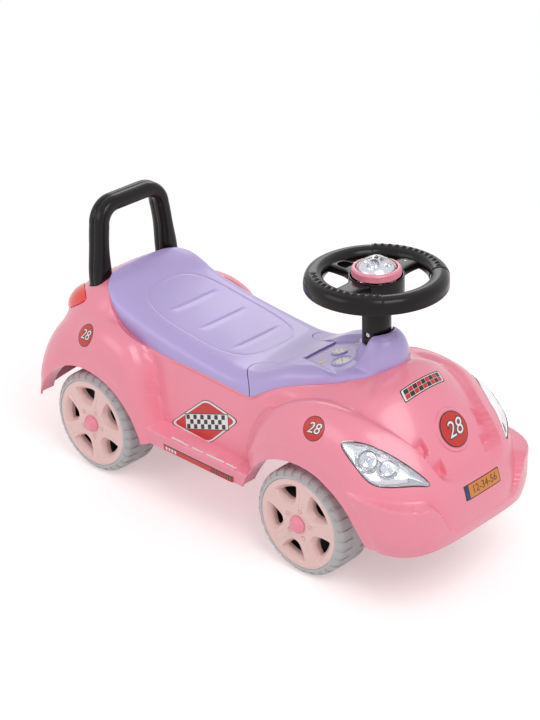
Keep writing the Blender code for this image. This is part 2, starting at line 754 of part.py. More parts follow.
def lamp_window(kind, side):
    flat = lamp_outline(kind, WINDOW_GAP)
    low = in_space(kind, flat, lamp_deep(kind))
    high = in_space(kind, flat, lamp_deep(kind) + 0.12)
    return loft(f"cut_{kind}_{side}", [mirrored(low, side), mirrored(high, side)], caps=True)


def lamp_sheet(kind, grow, sink, swell):
    """Loops from the rim to the middle of a lamp: sink lowers it, swell raises its middle."""
    rim = lamp_outline(kind, grow)
    middle = rim.mean(axis=0)
    loops = []
    for share in LAMP_RINGS:
        flat = middle + (rim - middle) * share
        depth = lamp_surface(kind, flat) - sink + swell * (1 - share ** 2.5)
        loops.append(in_space(kind, flat, depth))
    return loops


def make_lens(name, kind, side):
    proud = LAMPS[kind]["proud"]
    outer = lamp_sheet(kind, 0.0, -LAMPS[kind]["rim_proud"], proud)
    inner = lamp_sheet(kind, -0.0008, LENS_THICKNESS, proud)
    loops = [mirrored(loop, side) for loop in outer[::-1] + inner]
    return loft(name, loops)


def make_dish(name, kind, side):
    """The bowl behind a lens; its rim meets the lens's back."""
    front = lamp_sheet(kind, -0.0012, LENS_THICKNESS + GAP, LAMPS[kind]["proud"])
    back = lamp_sheet(kind, -0.0006, LENS_THICKNESS + GAP + DISH_WALL, LAMPS[kind]["proud"])
    along = lamp_axes(kind)[0]
    for loops in (front, back):
        for share, loop in zip(LAMP_RINGS, loops):
            loop -= along * DISH_DEPTH * math.sqrt(max(0.0, 1 - share ** 2))
    return loft(name, [mirrored(loop, side) for loop in front[::-1] + back])


# Handle: two half shells on one centre line

def handle_path():
    """(x, z) points of the handle's centre line, from the foot of the right leg over the top."""
    corner = HANDLE_CORNER_RADIUS
    top_x = HANDLE_TOP_HALF_SPAN
    points = [(-HANDLE_BASE_HALF_SPAN, HANDLE_FOOT_Z), (-HANDLE_BASE_HALF_SPAN, HANDLE_BASE_Z),
              (-(HANDLE_BASE_HALF_SPAN + top_x) / 2 - 0.0005, (HANDLE_BASE_Z + HANDLE_TOP_Z) / 2 - 0.006)]
    points += arc((-(top_x - corner), HANDLE_TOP_Z - corner), corner, 180, 90, 6)
    other = [(-x, z) for x, z in points[::-1]]
    return np.array(points + other)


def handle_centre_y(z):
    return HANDLE_BASE_Y + (z - HANDLE_BASE_Z) * HANDLE_LEAN


def make_handle_half(name, side):
    """side -1 is the front shell, +1 the rear one."""
    path = handle_path()
    tangent = np.gradient(path, axis=0)
    tangent = tangent / np.linalg.norm(tangent, axis=1, keepdims=True)
    normal = np.stack([-tangent[:, 1], tangent[:, 0]], axis=1)
    loops = []
    for (x, z), (nx, nz) in zip(path, normal):
        flare = smooth_step(HANDLE_BASE_Z + 0.045, HANDLE_BASE_Z, np.array(z))
        half_width = (HANDLE_WIDTH + (HANDLE_BASE_WIDTH - HANDLE_WIDTH) * flare) / 2
        loop = []
        for angle in np.radians(np.linspace(0, 180, HANDLE_SECTION_STEPS)):
            across = half_width * np.sign(math.cos(angle)) * abs(math.cos(angle)) ** 0.75
            depth = HANDLE_DEPTH / 2 * math.sin(angle) ** 0.75
            y = handle_centre_y(z) + side * (depth + GAP / 2)
            loop.append((x + nx * across, y, z + nz * across))
        loops.append(np.array(loop))
    return loft(name, loops, caps=True)


def handle_socket(side):
    loops = []
    angles = np.radians(np.arange(0, 360, 20))
    for z in (HANDLE_BASE_Z - 0.040, HANDLE_BASE_Z + 0.030):
        wide = HANDLE_BASE_WIDTH / 2 + SOCKET_CLEARANCE
        deep = HANDLE_DEPTH / 2 + SOCKET_CLEARANCE
        across = wide * np.sign(np.cos(angles)) * np.abs(np.cos(angles)) ** 0.75
        depth = deep * np.sign(np.sin(angles)) * np.abs(np.sin(angles)) ** 0.75
        centre = handle_centre_y(z)
        loops.append(np.stack([side * HANDLE_BASE_HALF_SPAN + across, centre + depth, 0 * angles + z], 1))
    return loft(f"cut_socket_{side}", loops, caps=True)


# Seat and dashboard: one lilac surface, split by a curved line

def top_rows(seam, count, lower=0.0):
    """Loops from the seam up over the shoulder and in to the centre line."""
    centre_y = curve_through(((-0.20, -0.185), (-0.10, -0.115), (0.0, -0.020), (0.15, 0.140),
                              (0.26, 0.225)), seam[:, 1])
    centre_y[0] = -0.187
    rows = []
    for share in np.concatenate([[0.0, 0.03, 0.075, 0.15, 0.26], np.linspace(0.45, 1.0, count - 5)]):
        x = seam[:, 0] * (1 - share)
        y = seam[:, 1] + (centre_y - seam[:, 1]) * share
        depth = np.hypot(seam[:, 0] - x, seam[:, 1] - y)
        rise = (1 - (1 - np.clip(depth / SHOULDER, 0, 1)) ** 2.4) ** (1 / 2.4)
        crown = curve_through(((-0.20, 0.050), (-0.15, 0.014), (-0.07, 0.004), (0.20, 0.004)), y)
        top = curve_through(TOP_PROFILE, y) - crown * (x / 0.09) ** 2 - lower
        z = seam[:, 2] + np.maximum(top - seam[:, 2], 0.001) * rise
        rows.append(np.stack([x, y, z], axis=-1))
    return rows


def make_top(name):
    """The whole lilac moulding, open below; seat and dashboard are cut from it."""
    seam = ledge_loop(shell_stations()[0], SEAM_GAP) + np.array([0.0, 0.0, SEAM_LIFT])
    outer = top_rows(seam, TOP_ROWS)
    inner = top_rows(ledge_loop(seam, TOP_WALL), TOP_ROWS - 1, lower=TOP_WALL)
    return loft(name, [full_loop(loop) for loop in outer[::-1] + inner])


def split_cutter(name, offset):
    """Everything ahead of the line between dashboard and seat, moved by an offset."""
    right = [(x, y + offset) for x, y in SPLIT_LINE[1:]]
    left = [(-x, y + offset) for x, y in SPLIT_LINE[:0:-1]]
    tip = [(0.0, SPLIT_LINE[0][1] + offset)]
    return prism(name, left + tip + right + [(0.12, -0.26), (-0.12, -0.26)], 0.15, 0.34)


def crescent(middle, steps=8):
    """A groove's outline in plan: two bows that meet at its ends."""
    near = []
    far = []
    for share in np.linspace(-1, 1, steps):
        x = share * GROOVE_HALF_WIDTH
        bow = middle + GROOVE_BOW * (share ** 2 - 0.5)
        half = GROOVE_HALF_LENGTH * (1 - share ** 2) + 0.0004
        near.append((x, bow - half, TAIL_TOP_Z))
        far.append((x, bow + half, TAIL_TOP_Z))
    return near + far[::-1]


def make_seat():
    seat = make_top("seat")
    skin = skin_of(seat)
    cut(seat, split_cutter("cut_seat", SPLIT_GAP))
    for index, middle in enumerate(GROOVES_Y):
        cut(seat, recess_cutter(f"cut_groove_{index}", skin, crescent(middle), (0, 0, -1), GROOVE_DEPTH))
    return seat


def make_dashboard():
    """The front of the lilac moulding, with the boss that carries the column's bush."""
    dashboard = make_top("dashboard")
    panel = [(x, y, TAIL_TOP_Z) for x, y in
             ((-0.036, -0.120), (0.036, -0.120), (0.044, -0.112), (0.050, -0.084), (0.043, -0.077),
              (-0.043, -0.077), (-0.050, -0.084), (-0.044, -0.112))]
    recess = recess_cutter("cut_panel", skin_of(dashboard), panel, (0, 0, -1), PANEL_DEPTH)
    combine(dashboard, split_cutter("keep_dashboard", 0.0), "INTERSECT")
    low = BOSS_TOP_Z - BOSS_HEIGHT
    boss = turned("boss", [(0, 0), (BOSS_BASE_RADIUS, 0), (BOSS_TOP_RADIUS, BOSS_HEIGHT), (0, BOSS_HEIGHT)],
                  24, axis=COLUMN_AXIS)
    shift(boss, (0, column_y(low), low))
    join(dashboard, boss)
    cut(dashboard, recess)
    bore = rod("cut_bush", BUSH_RADIUS + GAP, column_point(low - 0.02), column_point(BOSS_TOP_Z + 0.02), 24)
    cut(dashboard, bore)
    return dashboard


# Steering

def column_y(z):
    return STEERING_CENTRE[0] - (STEERING_CENTRE[1] - z) * math.tan(COLUMN_TILT)


def column_point(z):
    return Vector((0.0, column_y(z), z))


def on_column(item, height=0.0):
    """Moves a piece turned about the column's direction up to the steering wheel's centre."""
    centre = Vector((0.0, *STEERING_CENTRE))
    shift(item, centre + COLUMN_AXIS * height)
    return item


def make_steering_wheel():
    rim_in = STEERING_RADIUS - STEERING_RIM_WIDTH
    middle = STEERING_RADIUS - STEERING_RIM_WIDTH / 2
    half = STEERING_RIM_WIDTH / 2
    top, low = STEERING_RIM_TOP, STEERING_RIM_LOW
    profile = [(rim_in, low + 0.004), (rim_in, top - 0.007), (middle - half * 0.62, top - 0.0015),
               (middle, top), (middle + half * 0.62, top - 0.0015), (STEERING_RADIUS, top - 0.0075),
               (STEERING_RADIUS, low), (STEERING_RADIUS - 0.0025, low), (middle, low + 0.008)]
    wheel = on_column(turned("steering_wheel", profile, 36, ring=True, axis=COLUMN_AXIS))
    floor = HUB_BOTTOM
    bore = HUB_RADIUS - HUB_WALL
    cup = [(0, floor), (HUB_RADIUS - 0.003, floor), (HUB_RADIUS, floor + 0.003), (HUB_RADIUS, HUB_TOP),
           (bore, HUB_TOP), (bore, floor + HUB_WALL), (0, floor + HUB_WALL)]
    join(wheel, on_column(turned("hub_cup", cup, 22, axis=COLUMN_AXIS)))
    for index, (dx, dy) in enumerate(((-1, 0), (1, 0), (0, 1))):
        spoke = prism(f"spoke_{index}", SPOKE_SECTION, HUB_RADIUS - 0.0016, rim_in + 0.006, "xy")
        turn = Matrix((( -dy, 0, dx, 0), (dx, 0, dy, 0), (0, 1, 0, 0), (0, 0, 0, 1)))
        spoke.data.transform(turn)
        spoke.data.transform(Matrix.Rotation(-COLUMN_TILT, 4, "X"))
        work = bmesh.new()
        work.from_mesh(spoke.data)
        bmesh.ops.recalc_face_normals(work, faces=work.faces)
        work.to_mesh(spoke.data)
        work.free()
        join(wheel, on_column(spoke))
    cut(wheel, rod("cut_hub_bore", SHAFT_RADIUS + GAP, column_point(0.30), column_point(0.372), 16))
    return wheel


def make_column_tube():
    """The black tube under the wheel: bottom disc with the shaft's bore, open at the top."""
    low = BOSS_TOP_Z + GAP
    high = STEERING_CENTRE[1] + (HUB_BOTTOM - GAP) * math.cos(COLUMN_TILT)
    length = (high - low) / math.cos(COLUMN_TILT)
    profile = [(SHAFT_RADIUS + GAP, 0), (COLUMN_RADIUS, 0), (COLUMN_RADIUS, length),
               (COLUMN_RADIUS - COLUMN_WALL, length), (COLUMN_RADIUS - COLUMN_WALL, 0.004),
               (SHAFT_RADIUS + GAP, 0.004)]
    tube = turned("column_tube", profile, 20, ring=True, axis=COLUMN_AXIS)
    shift(tube, column_point(low))
    hole = rod("cut_screw", SCREW_HOLE_RADIUS, (-0.03, column_y(SCREW_HOLE_Z), SCREW_HOLE_Z),
               (-0.008, column_y(SCREW_HOLE_Z), SCREW_HOLE_Z), 14)
    cut(tube, hole)
    return tube


def make_column_bush():
    bore = SHAFT_RADIUS + PIN_CLEARANCE
    length = BOSS_HEIGHT - 0.001
    profile = [(bore, 0), (BUSH_RADIUS, 0), (BUSH_RADIUS, length), (bore, length)]
    bush = turned("column_bush", profile, 20, ring=True, axis=COLUMN_AXIS)
    shift(bush, column_point(BOSS_TOP_Z - BOSS_HEIGHT + 0.0005))
    return bush


def make_steering_shaft():
    top = STEERING_CENTRE[1] + HUB_BOTTOM + HUB_WALL + SHAFT_PROUD
    shaft = rod("steering_shaft", SHAFT_RADIUS, column_point(SHAFT_FOOT_Z), column_point(top), 16)
    centre = column_point(CRANK_Z)
    plate = prism("crank", stadium((0, centre.y), (0, centre.y - CRANK_ARM), CRANK_HALF_WIDTH),
                  CRANK_Z, CRANK_Z + CRANK_THICKNESS)
    pin = rod("crank_pin", LINK_PIN_RADIUS, (0, centre.y - CRANK_ARM, TIE_ROD_Z - 0.001),
              (0, centre.y - CRANK_ARM, CRANK_Z + CRANK_THICKNESS - 0.001), 12)
    join(shaft, plate, pin)
    return shaft


def stadium(start, end, radius, steps=7):
    """The outline of a bar with round ends."""
    angle = math.degrees(math.atan2(end[1] - start[1], end[0] - start[0]))
    return (arc(end, radius, angle - 90, angle + 90, steps)
            + arc(start, radius, angle + 90, angle + 270, steps))


def make_tie_rod():
    """A flat link: a V from both knuckle pins forwards to the crank pin."""
    crank = (0.0, column_y(CRANK_Z) - CRANK_ARM)
    ends = [(side * KINGPIN_X, FRONT_AXLE_Y - CRANK_ARM) for side in (-1, 1)]
    top = TIE_ROD_Z + TIE_ROD_THICKNESS
    link = prism("tie_rod", stadium(ends[0], crank, TIE_ROD_HALF_WIDTH), TIE_ROD_Z, top)
    other = prism("tie_rod_half", stadium(ends[1], crank, TIE_ROD_HALF_WIDTH - 0.0001), TIE_ROD_Z + 0.0001,
                  top - 0.0001)
    join(link, other)
    for index, (x, y) in enumerate(ends + [crank]):
        clearance = PIN_CLEARANCE if index == 2 else OPEN_PIN_CLEARANCE
        cut(link, rod(f"cut_link_{index}", LINK_PIN_RADIUS + clearance, (x, y, TIE_ROD_Z - 0.01),
                      (x, y, top + 0.01), 14))
    return link


def make_front_beam():
    """The moulded beam under the bonnet: spine, kingpin bosses and the shaft's foot."""
    foot = column_point((BEAM_Z + BEAM_TOP_Z) / 2)
    right = arc((0, foot.y), BEAM_FOOT_RADIUS, -90, 10, 6)
    right += [(0.013, FRONT_AXLE_Y - 0.0085)]
    right += arc((KINGPIN_X, FRONT_AXLE_Y), KINGPIN_BOSS_RADIUS, -116, 116, 9)
    right += [(0.024, FRONT_AXLE_Y + 0.0085), (BEAM_HALF_WIDTH, FRONT_AXLE_Y + 0.018),
              (BEAM_HALF_WIDTH, TUB_FRONT_Y - GAP)]
    left = [(-x, y) for x, y in right[:0:-1]]
    beam = prism("front_beam", right + left, BEAM_Z, BEAM_TOP_Z)
    for side in (-1, 1):
        cut(beam, rod(f"cut_kingpin_{side}", KINGPIN_RADIUS + GAP, (side * KINGPIN_X, FRONT_AXLE_Y, 0.05),
                      (side * KINGPIN_X, FRONT_AXLE_Y, 0.13), 16))
    cut(beam, rod("cut_foot", SHAFT_RADIUS + PIN_CLEARANCE, column_point(0.06), column_point(0.13), 16))
    return beam


def make_knuckle(name, side):
    """A fork round the beam's boss, with the stub axle's seat below and the steering arm above."""
    inner = KINGPIN_X - 0.0095
    outer = KINGPIN_X + 0.0137
    web = KINGPIN_X + 0.0103
    arm_z = BEAM_TOP_Z + 0.0005
    outline = [(inner, KNUCKLE_LOW_Z), (outer, KNUCKLE_LOW_Z), (outer, arm_z + KNUCKLE_ARM),
               (inner, arm_z + KNUCKLE_ARM), (inner, arm_z), (web, arm_z), (web, BEAM_Z - 0.0005),
               (inner, BEAM_Z - 0.0005)]
    outline = [(side * x, z) for x, z in outline]
    knuckle = prism(name, outline, FRONT_AXLE_Y - 0.0085, FRONT_AXLE_Y + 0.0085, "xz")
    x = side * KINGPIN_X
    arm = prism(f"{name}_arm", stadium((x, FRONT_AXLE_Y), (x, FRONT_AXLE_Y - CRANK_ARM), 0.0068),
                arm_z + 0.0002, arm_z + KNUCKLE_ARM - 0.0002)
    pin = rod(f"{name}_pin", LINK_PIN_RADIUS, (x, FRONT_AXLE_Y - CRANK_ARM, arm_z + 0.001),
              (x, FRONT_AXLE_Y - CRANK_ARM, TIE_ROD_Z + TIE_ROD_THICKNESS + 0.001), 12)
    join(knuckle, arm, pin)
    low = KINGPIN_LOW_Z - GAP
    cut(knuckle, rod(f"cut_{name}_pin", KINGPIN_RADIUS + PIN_CLEARANCE, (x, FRONT_AXLE_Y, low),
                     (x, FRONT_AXLE_Y, 0.13), 16))
    cut(knuckle, rod(f"cut_{name}_axle", AXLE_DIAMETER / 2 + GAP, (0, FRONT_AXLE_Y, WHEEL_DIAMETER / 2),
                     (side * 0.08, FRONT_AXLE_Y, WHEEL_DIAMETER / 2), 16))
    return knuckle


def make_kingpin(name, side):
    head = BEAM_TOP_Z + 0.0005 + KNUCKLE_ARM + GAP
    pin = turned(name, [(0, KINGPIN_LOW_Z), (KINGPIN_RADIUS, KINGPIN_LOW_Z), (KINGPIN_RADIUS, head),
                        (0.0058, head), (0.0058, head + 0.0016), (0, head + 0.0016)], 16)
    shift(pin, (side * KINGPIN_X, FRONT_AXLE_Y, 0))
    return pin


def make_rear_beam():
    """Two cheeks and a top web behind the tub that carry the rear axle."""
    start = TUB_REAR_Y + GAP
    axle_z = WHEEL_DIAMETER / 2
    profile = [(start, TUB_FLOOR_Z + 0.0045), (REAR_AXLE_Y - 0.022, axle_z - 0.013),
               (REAR_AXLE_Y + 0.010, axle_z - 0.013), (REAR_AXLE_Y + 0.015, axle_z - 0.008),
               (REAR_AXLE_Y + 0.015, axle_z + 0.009), (REAR_AXLE_Y + 0.002, axle_z + 0.019),
               (start + 0.030, REAR_BEAM_TOP_Z), (start, REAR_BEAM_TOP_Z)]
    beam = prism("rear_beam", profile, -REAR_BEAM_HALF_WIDTH, REAR_BEAM_HALF_WIDTH, "yz")
    inner = REAR_BEAM_HALF_WIDTH - 0.0045
    under = REAR_BEAM_TOP_Z - 0.005
    hollow = [(start + 0.004, axle_z - 0.031), (REAR_AXLE_Y + 0.0105, axle_z - 0.031),
              (REAR_AXLE_Y + 0.0105, axle_z + 0.007), (REAR_AXLE_Y - 0.002, axle_z + 0.0145),
              (start + 0.027, under), (start + 0.004, under)]
    pocket = prism("cut_pocket", hollow, -inner, inner, "yz")
    cut(beam, pocket)
    cut(beam, rod("cut_rear_axle", AXLE_DIAMETER / 2 + GAP, (-0.1, REAR_AXLE_Y, WHEEL_DIAMETER / 2),
                  (0.1, REAR_AXLE_Y, WHEEL_DIAMETER / 2), 16))
    return beam


def make_storage_tub():
    """An open box that hangs under the seat's ledge; its rim follows the seam."""
    seam = np.array(SEAM)
    half = WAIST_HALF_WIDTH - TUB_INSET
    corner = 0.012

    def plan(inset):
        x = half - inset
        front = TUB_FRONT_Y + inset
        back = TUB_REAR_Y - inset
        radius = corner - inset
        points = arc((x - radius, front + radius), radius, -90, 0, 4)
        points += [(x, y) for y in (0.020, 0.060, 0.100)]
        points += arc((x - radius, back - radius), radius, 0, 90, 4)
        return np.array(points + [(-a, b) for a, b in points[::-1]])

    def raised(points, z):
        return np.stack([points[:, 0], points[:, 1], 0 * points[:, 0] + z], axis=1)

    outer, inner = plan(0.0), plan(TUB_WALL)
    rim = np.interp(outer[:, 1], seam[11:, 0], seam[11:, 2]) - WALL - 2 * SEAM_GAP
    loops = [raised(outer, TUB_FLOOR_Z), raised(outer, rim), raised(inner, rim),
             raised(inner, TUB_FLOOR_Z + TUB_WALL)]
    return loft("storage_tub", loops, caps=True)


# Wheels, each modelled about its own hub with +X outwards

def tyre_mesh():
    radius = WHEEL_DIAMETER / 2
    half = TYRE_WIDTH / 2
    inner = RIM_DIAMETER / 2
    steps = TREAD_LUGS * 2
    angles = np.arange(steps) * 2 * math.pi / steps
    even = (np.arange(steps) % 2).astype(float)
    rows = [(-half, inner, 0, 0), (-half, radius - 0.0070, 0, 0), (-half + 0.005, radius, 0, 1),
            (half - 0.005, radius, 1, -1), (half, radius - 0.0070, 0, 0), (half, inner, 0, 0)]
    loops = []
    for x, r, base, swing in rows:
        lug = base + swing * even
        ring = r - TREAD_DEPTH * np.where(swing == 0, 0.0, 1 - lug)
        loops.append(np.stack([0 * angles + x, ring * np.cos(angles), ring * np.sin(angles)], axis=1))
    return loft("tyre_shape", loops, ring=True)


def rim_mesh():
    outer = RIM_DIAMETER / 2 - GAP
    barrel = outer - 0.0026
    half = TYRE_WIDTH / 2
    front = half - COVER_RECESS - COVER_THICKNESS - GAP
    bore = AXLE_DIAMETER / 2 + AXLE_CLEARANCE
    profile = [(bore, -half + 0.002), (0.011, -half + 0.002), (0.011, -0.006), (barrel, -0.006),
               (barrel, -half + 0.001), (outer, -half + 0.001), (outer, front), (barrel, front),
               (barrel, -0.003), (0.011, -0.003), (0.011, front), (bore, front)]
    return turned("rim_shape", profile, 16, ring=True, axis=(1, 0, 0))


def cover_mesh():
    """The pale disc with five windows."""
    back = TYRE_WIDTH / 2 - COVER_RECESS - COVER_THICKNESS
    pitch = 360 / WINDOWS
    windows = []
    for index in range(WINDOWS):
        middle = 90 + index * pitch
        windows.append(arc((0, 0), WINDOW_OUT, middle - WINDOW_HALF_ANGLE, middle + WINDOW_HALF_ANGLE, 5)
                       + arc((0, 0), WINDOW_IN, middle + WINDOW_HALF_ANGLE * 0.6,
                             middle - WINDOW_HALF_ANGLE * 0.6, 3))
    centre = arc((0, 0), HUB_SPIGOT_RADIUS + GAP, 0, 360, 13)[:-1]
    edge = arc((0, 0), RIM_DIAMETER / 2 - GAP, 0, 360, 37)[:-1]
    return pierced_plate("cover_shape", edge, windows + [centre], back, back + COVER_THICKNESS)


def pierced_plate(name, edge, holes, low, high):
    """A plate across X with holes through it, from outlines of (y, z) points."""
    outlines = [edge] + holes
    flat = [[Vector((y, z, 0.0)) for y, z in outline] for outline in outlines]
    triangles = tessellate_polygon(flat)
    ring = [point for outline in outlines for point in outline]
    count = len(ring)
    points = [(low, y, z) for y, z in ring] + [(high, y, z) for y, z in ring]
    faces = [tuple(triangle) for triangle in triangles]
    faces += [tuple(index + count for index in triangle) for triangle in triangles]
    start = 0
    for outline in outlines:
        for index in range(len(outline)):
            here = start + index
            after = start + (index + 1) % len(outline)
            faces.append((here, after, after + count, here + count))
        start += len(outline)
    return mesh_object(name, points, faces)


def cap_mesh():
    start = TYRE_WIDTH / 2 - COVER_RECESS + GAP
    low = start - COVER_THICKNESS - GAP
    profile = [(0, low), (HUB_SPIGOT_RADIUS, low), (HUB_SPIGOT_RADIUS, start),
               (HUB_CAP_DIAMETER / 2, start), (HUB_CAP_DIAMETER / 2, start + 0.002),
               (HUB_CAP_DIAMETER / 2 - 0.0045, start + HUB_CAP_HEIGHT), (0, start + HUB_CAP_HEIGHT)]
    return turned("cap_shape", profile, 16, axis=(1, 0, 0))


def make_wheels(tints):
    shapes = {"tyre": tyre_mesh(), "rim": rim_mesh(), "wheel_cover": cover_mesh(), "hub_cap": cap_mesh()}
    hub_x = WHEEL_OUTER_FACE - TYRE_WIDTH / 2
    for place, y in (("front", FRONT_AXLE_Y), ("rear", REAR_AXLE_Y)):
        for hand, side in (("right", -1), ("left", 1)):
            hub = pivot(f"{place}_{hand}_hub", (side * hub_x, y, WHEEL_DIAMETER / 2))
            hub.rotation_euler = (0, 0, 0 if side > 0 else math.pi)
            if place == "front":
                knuckle = bpy.data.objects[f"{hand}_kingpin_axis"]
                hub.parent = knuckle
                hub.location = hub.location - knuckle.location
            for kind, shape in shapes.items():
                if not shape.data.materials:
                    finish_with(shape, tints[kind])
                piece = bpy.data.objects.new(f"{kind}_{place}_{hand}", shape.data)
                bpy.context.scene.collection.objects.link(piece)
                piece.parent = hub
    for shape in shapes.values():
        bpy.data.objects.remove(shape)


def main():
    for item in list(bpy.data.objects):
        bpy.data.objects.remove(item)
    pink = material("pink_plastic", (0.84, 0.27, 0.38), 0.25)
    lilac = material("lilac_plastic", (0.42, 0.33, 0.68), 0.28)
    black = material("black_plastic", (0.02, 0.018, 0.018), 0.22)
    grey = material("grey_tyre", (0.56, 0.57, 0.58), 0.55)
    pale = material("pale_pink", (0.86, 0.52, 0.62), 0.30)
    clear = material("clear_lens", (0.95, 0.96, 0.98), 0.05, see_through=0.9)
    silver = material("silver_dish", (0.80, 0.80, 0.82), 0.15, metallic=1.0)
    red = material("red_lens", (0.85, 0.03, 0.02), 0.12)
    steel = material("steel", (0.60, 0.60, 0.62), 0.30, metallic=1.0)
    dark = material("dark_nylon", (0.06, 0.06, 0.065), 0.50)
    green = material("board_green", (0.03, 0.20, 0.08), 0.45)

    finish_with(make_body_shell(), pink)
    finish_with(make_seat(), lilac)
    finish_with(make_dashboard(), lilac)
    finish_with(make_storage_tub(), pink)
    finish_with(make_handle_half("handle_front_shell", -1), black)
    finish_with(make_handle_half("handle_rear_shell", 1), black)
    for hand, side in (("r", -1), ("l", 1)):
        finish_with(make_lens(f"headlight_lens_{hand}", "headlight", side), clear)
        finish_with(make_dish(f"headlight_reflector_{hand}", "headlight", side), silver)
        finish_with(make_lens(f"tail_lamp_{hand}", "tail", side), red)
        finish_with(make_knuckle(f"knuckle_{hand}", side), dark)
        finish_with(make_kingpin(f"kingpin_{hand}", side), steel)
        stub = rod(f"stub_axle_{hand}", AXLE_DIAMETER / 2,
                   (side * (KINGPIN_X - 0.008), FRONT_AXLE_Y, WHEEL_DIAMETER / 2),
                   (side * AXLE_END_X, FRONT_AXLE_Y, WHEEL_DIAMETER / 2))
        finish_with(stub, steel)
    finish_with(rod("rear_axle", AXLE_DIAMETER / 2, (-AXLE_END_X, REAR_AXLE_Y, WHEEL_DIAMETER / 2),
                    (AXLE_END_X, REAR_AXLE_Y, WHEEL_DIAMETER / 2)), steel)
    finish_with(make_front_beam(), dark)
    finish_with(make_rear_beam(), dark)
    finish_with(make_tie_rod(), dark)
    finish_with(make_steering_wheel(), black)
    finish_with(make_column_tube(), black)
    finish_with(make_steering_shaft(), steel)
    finish_with(make_column_bush(), dark)
    make_light_unit(pink, clear, silver, green, steel)
    hang_on_axes()
    make_wheels({"tyre": grey, "rim": dark, "wheel_cover": pale, "hub_cap": pink})


def pivot(name, place):
    """An empty on a joint's axis, which carries the pieces that move about it."""
    empty = bpy.data.objects.new(name, None)
    bpy.context.scene.collection.objects.link(empty)
    empty.location = place
    return empty


def carry(empty, *names):
    """Hangs pieces that were made in the car's frame on an empty, with their origins there."""
    place = empty.location.copy()
    if empty.parent:
        place = place + empty.parent.location
    for name in names:
        item = bpy.data.objects[name]
        shift(item, -place)
        item.parent = empty


def hang_on_axes():
    steering = pivot("steering_axis", (0.0, *STEERING_CENTRE))
    carry(steering, "steering_wheel", "column_tube", "steering_shaft", "hub_ring", "circuit_board",
          "battery_r", "battery_l")
    push = pivot("dome_axis", COLUMN_AXIS * (HUB_TOP + HUB_RING_HEIGHT))
    push.parent = steering
    carry(push, "dome_button", "dome_reflector", "dome_spring")
    for hand, side in (("right", -1), ("left", 1)):
        kingpin = pivot(f"{hand}_kingpin_axis", (side * KINGPIN_X, FRONT_AXLE_Y, BEAM_TOP_Z))
        carry(kingpin, f"knuckle_{hand[0]}", f"stub_axle_{hand[0]}")
    carry(pivot("tie_rod_axis", (0.0, column_y(CRANK_Z) - CRANK_ARM, TIE_ROD_Z)), "tie_rod")
    carry(pivot("seat_slide", (0.0, (TUB_FRONT_Y + TUB_REAR_Y) / 2, TUB_FLOOR_Z)), "seat")


def make_light_unit(pink, clear, silver, green, steel):
    """What sits in the hub cup: ring, dome, dish, board, cells and spring."""
    ring_low = HUB_TOP + GAP
    ring = turned("hub_ring", [(DOME_RADIUS + 0.0008, ring_low), (HUB_RING_RADIUS, ring_low),
                               (HUB_RING_RADIUS, ring_low + HUB_RING_HEIGHT - 0.0015),
                               (HUB_RING_RADIUS - 0.0015, ring_low + HUB_RING_HEIGHT),
                               (DOME_RADIUS + 0.0008, ring_low + HUB_RING_HEIGHT)], 24, ring=True,
                  axis=COLUMN_AXIS)
    finish_with(on_column(ring), pink)
    brim = ring_low - 0.0005
    spring_line = ring_low + HUB_RING_HEIGHT - 0.001
    outer = [(0, spring_line + DOME_HEIGHT), (DOME_RADIUS * 0.45, spring_line + DOME_HEIGHT * 0.88),
             (DOME_RADIUS * 0.80, spring_line + DOME_HEIGHT * 0.50), (DOME_RADIUS, spring_line),
             (DOME_RADIUS, brim), (DOME_RADIUS + 0.004, brim), (DOME_RADIUS + 0.004, brim - 0.0015)]
    inner = [(DOME_RADIUS - 0.0015, brim - 0.0015), (DOME_RADIUS - 0.0015, spring_line),
             (DOME_RADIUS * 0.80 - 0.0015, spring_line + DOME_HEIGHT * 0.50 - 0.001),
             (DOME_RADIUS * 0.45, spring_line + DOME_HEIGHT * 0.88 - 0.0018),
             (0, spring_line + DOME_HEIGHT - 0.002)]
    finish_with(on_column(turned("dome_button", outer + inner, 20, axis=COLUMN_AXIS)), clear)
    dish_r = DOME_RADIUS - 0.0015 - GAP
    back = spring_line - 0.0025
    stem = BOARD_TOP + SPRING_LENGTH
    dish = [(0, spring_line + 0.006), (dish_r * 0.5, spring_line + 0.005), (dish_r, spring_line - 0.0005),
            (dish_r, back), (0.006, back), (0.006, stem), (0, stem)]
    finish_with(on_column(turned("dome_reflector", dish, 18, axis=COLUMN_AXIS)), silver)
    edge = HUB_RADIUS - HUB_WALL - 0.0006
    board = turned("circuit_board", [(0, BOARD_TOP - 0.0016), (edge, BOARD_TOP - 0.0016), (edge, BOARD_TOP),
                                     (0, BOARD_TOP)], 22, axis=COLUMN_AXIS)
    finish_with(on_column(board), green)
    cell_z = HUB_BOTTOM + HUB_WALL + GAP + CELL_RADIUS
    for hand, side in (("r", -1), ("l", 1)):
        cell = rod(f"battery_{hand}", CELL_RADIUS, (side * 0.0115, -CELL_LENGTH / 2, 0),
                   (side * 0.0115, CELL_LENGTH / 2, 0), 14)
        cell.data.transform(Matrix.Rotation(-COLUMN_TILT, 4, "X"))
        finish_with(on_column(cell, cell_z), steel)
    finish_with(make_spring(), steel)


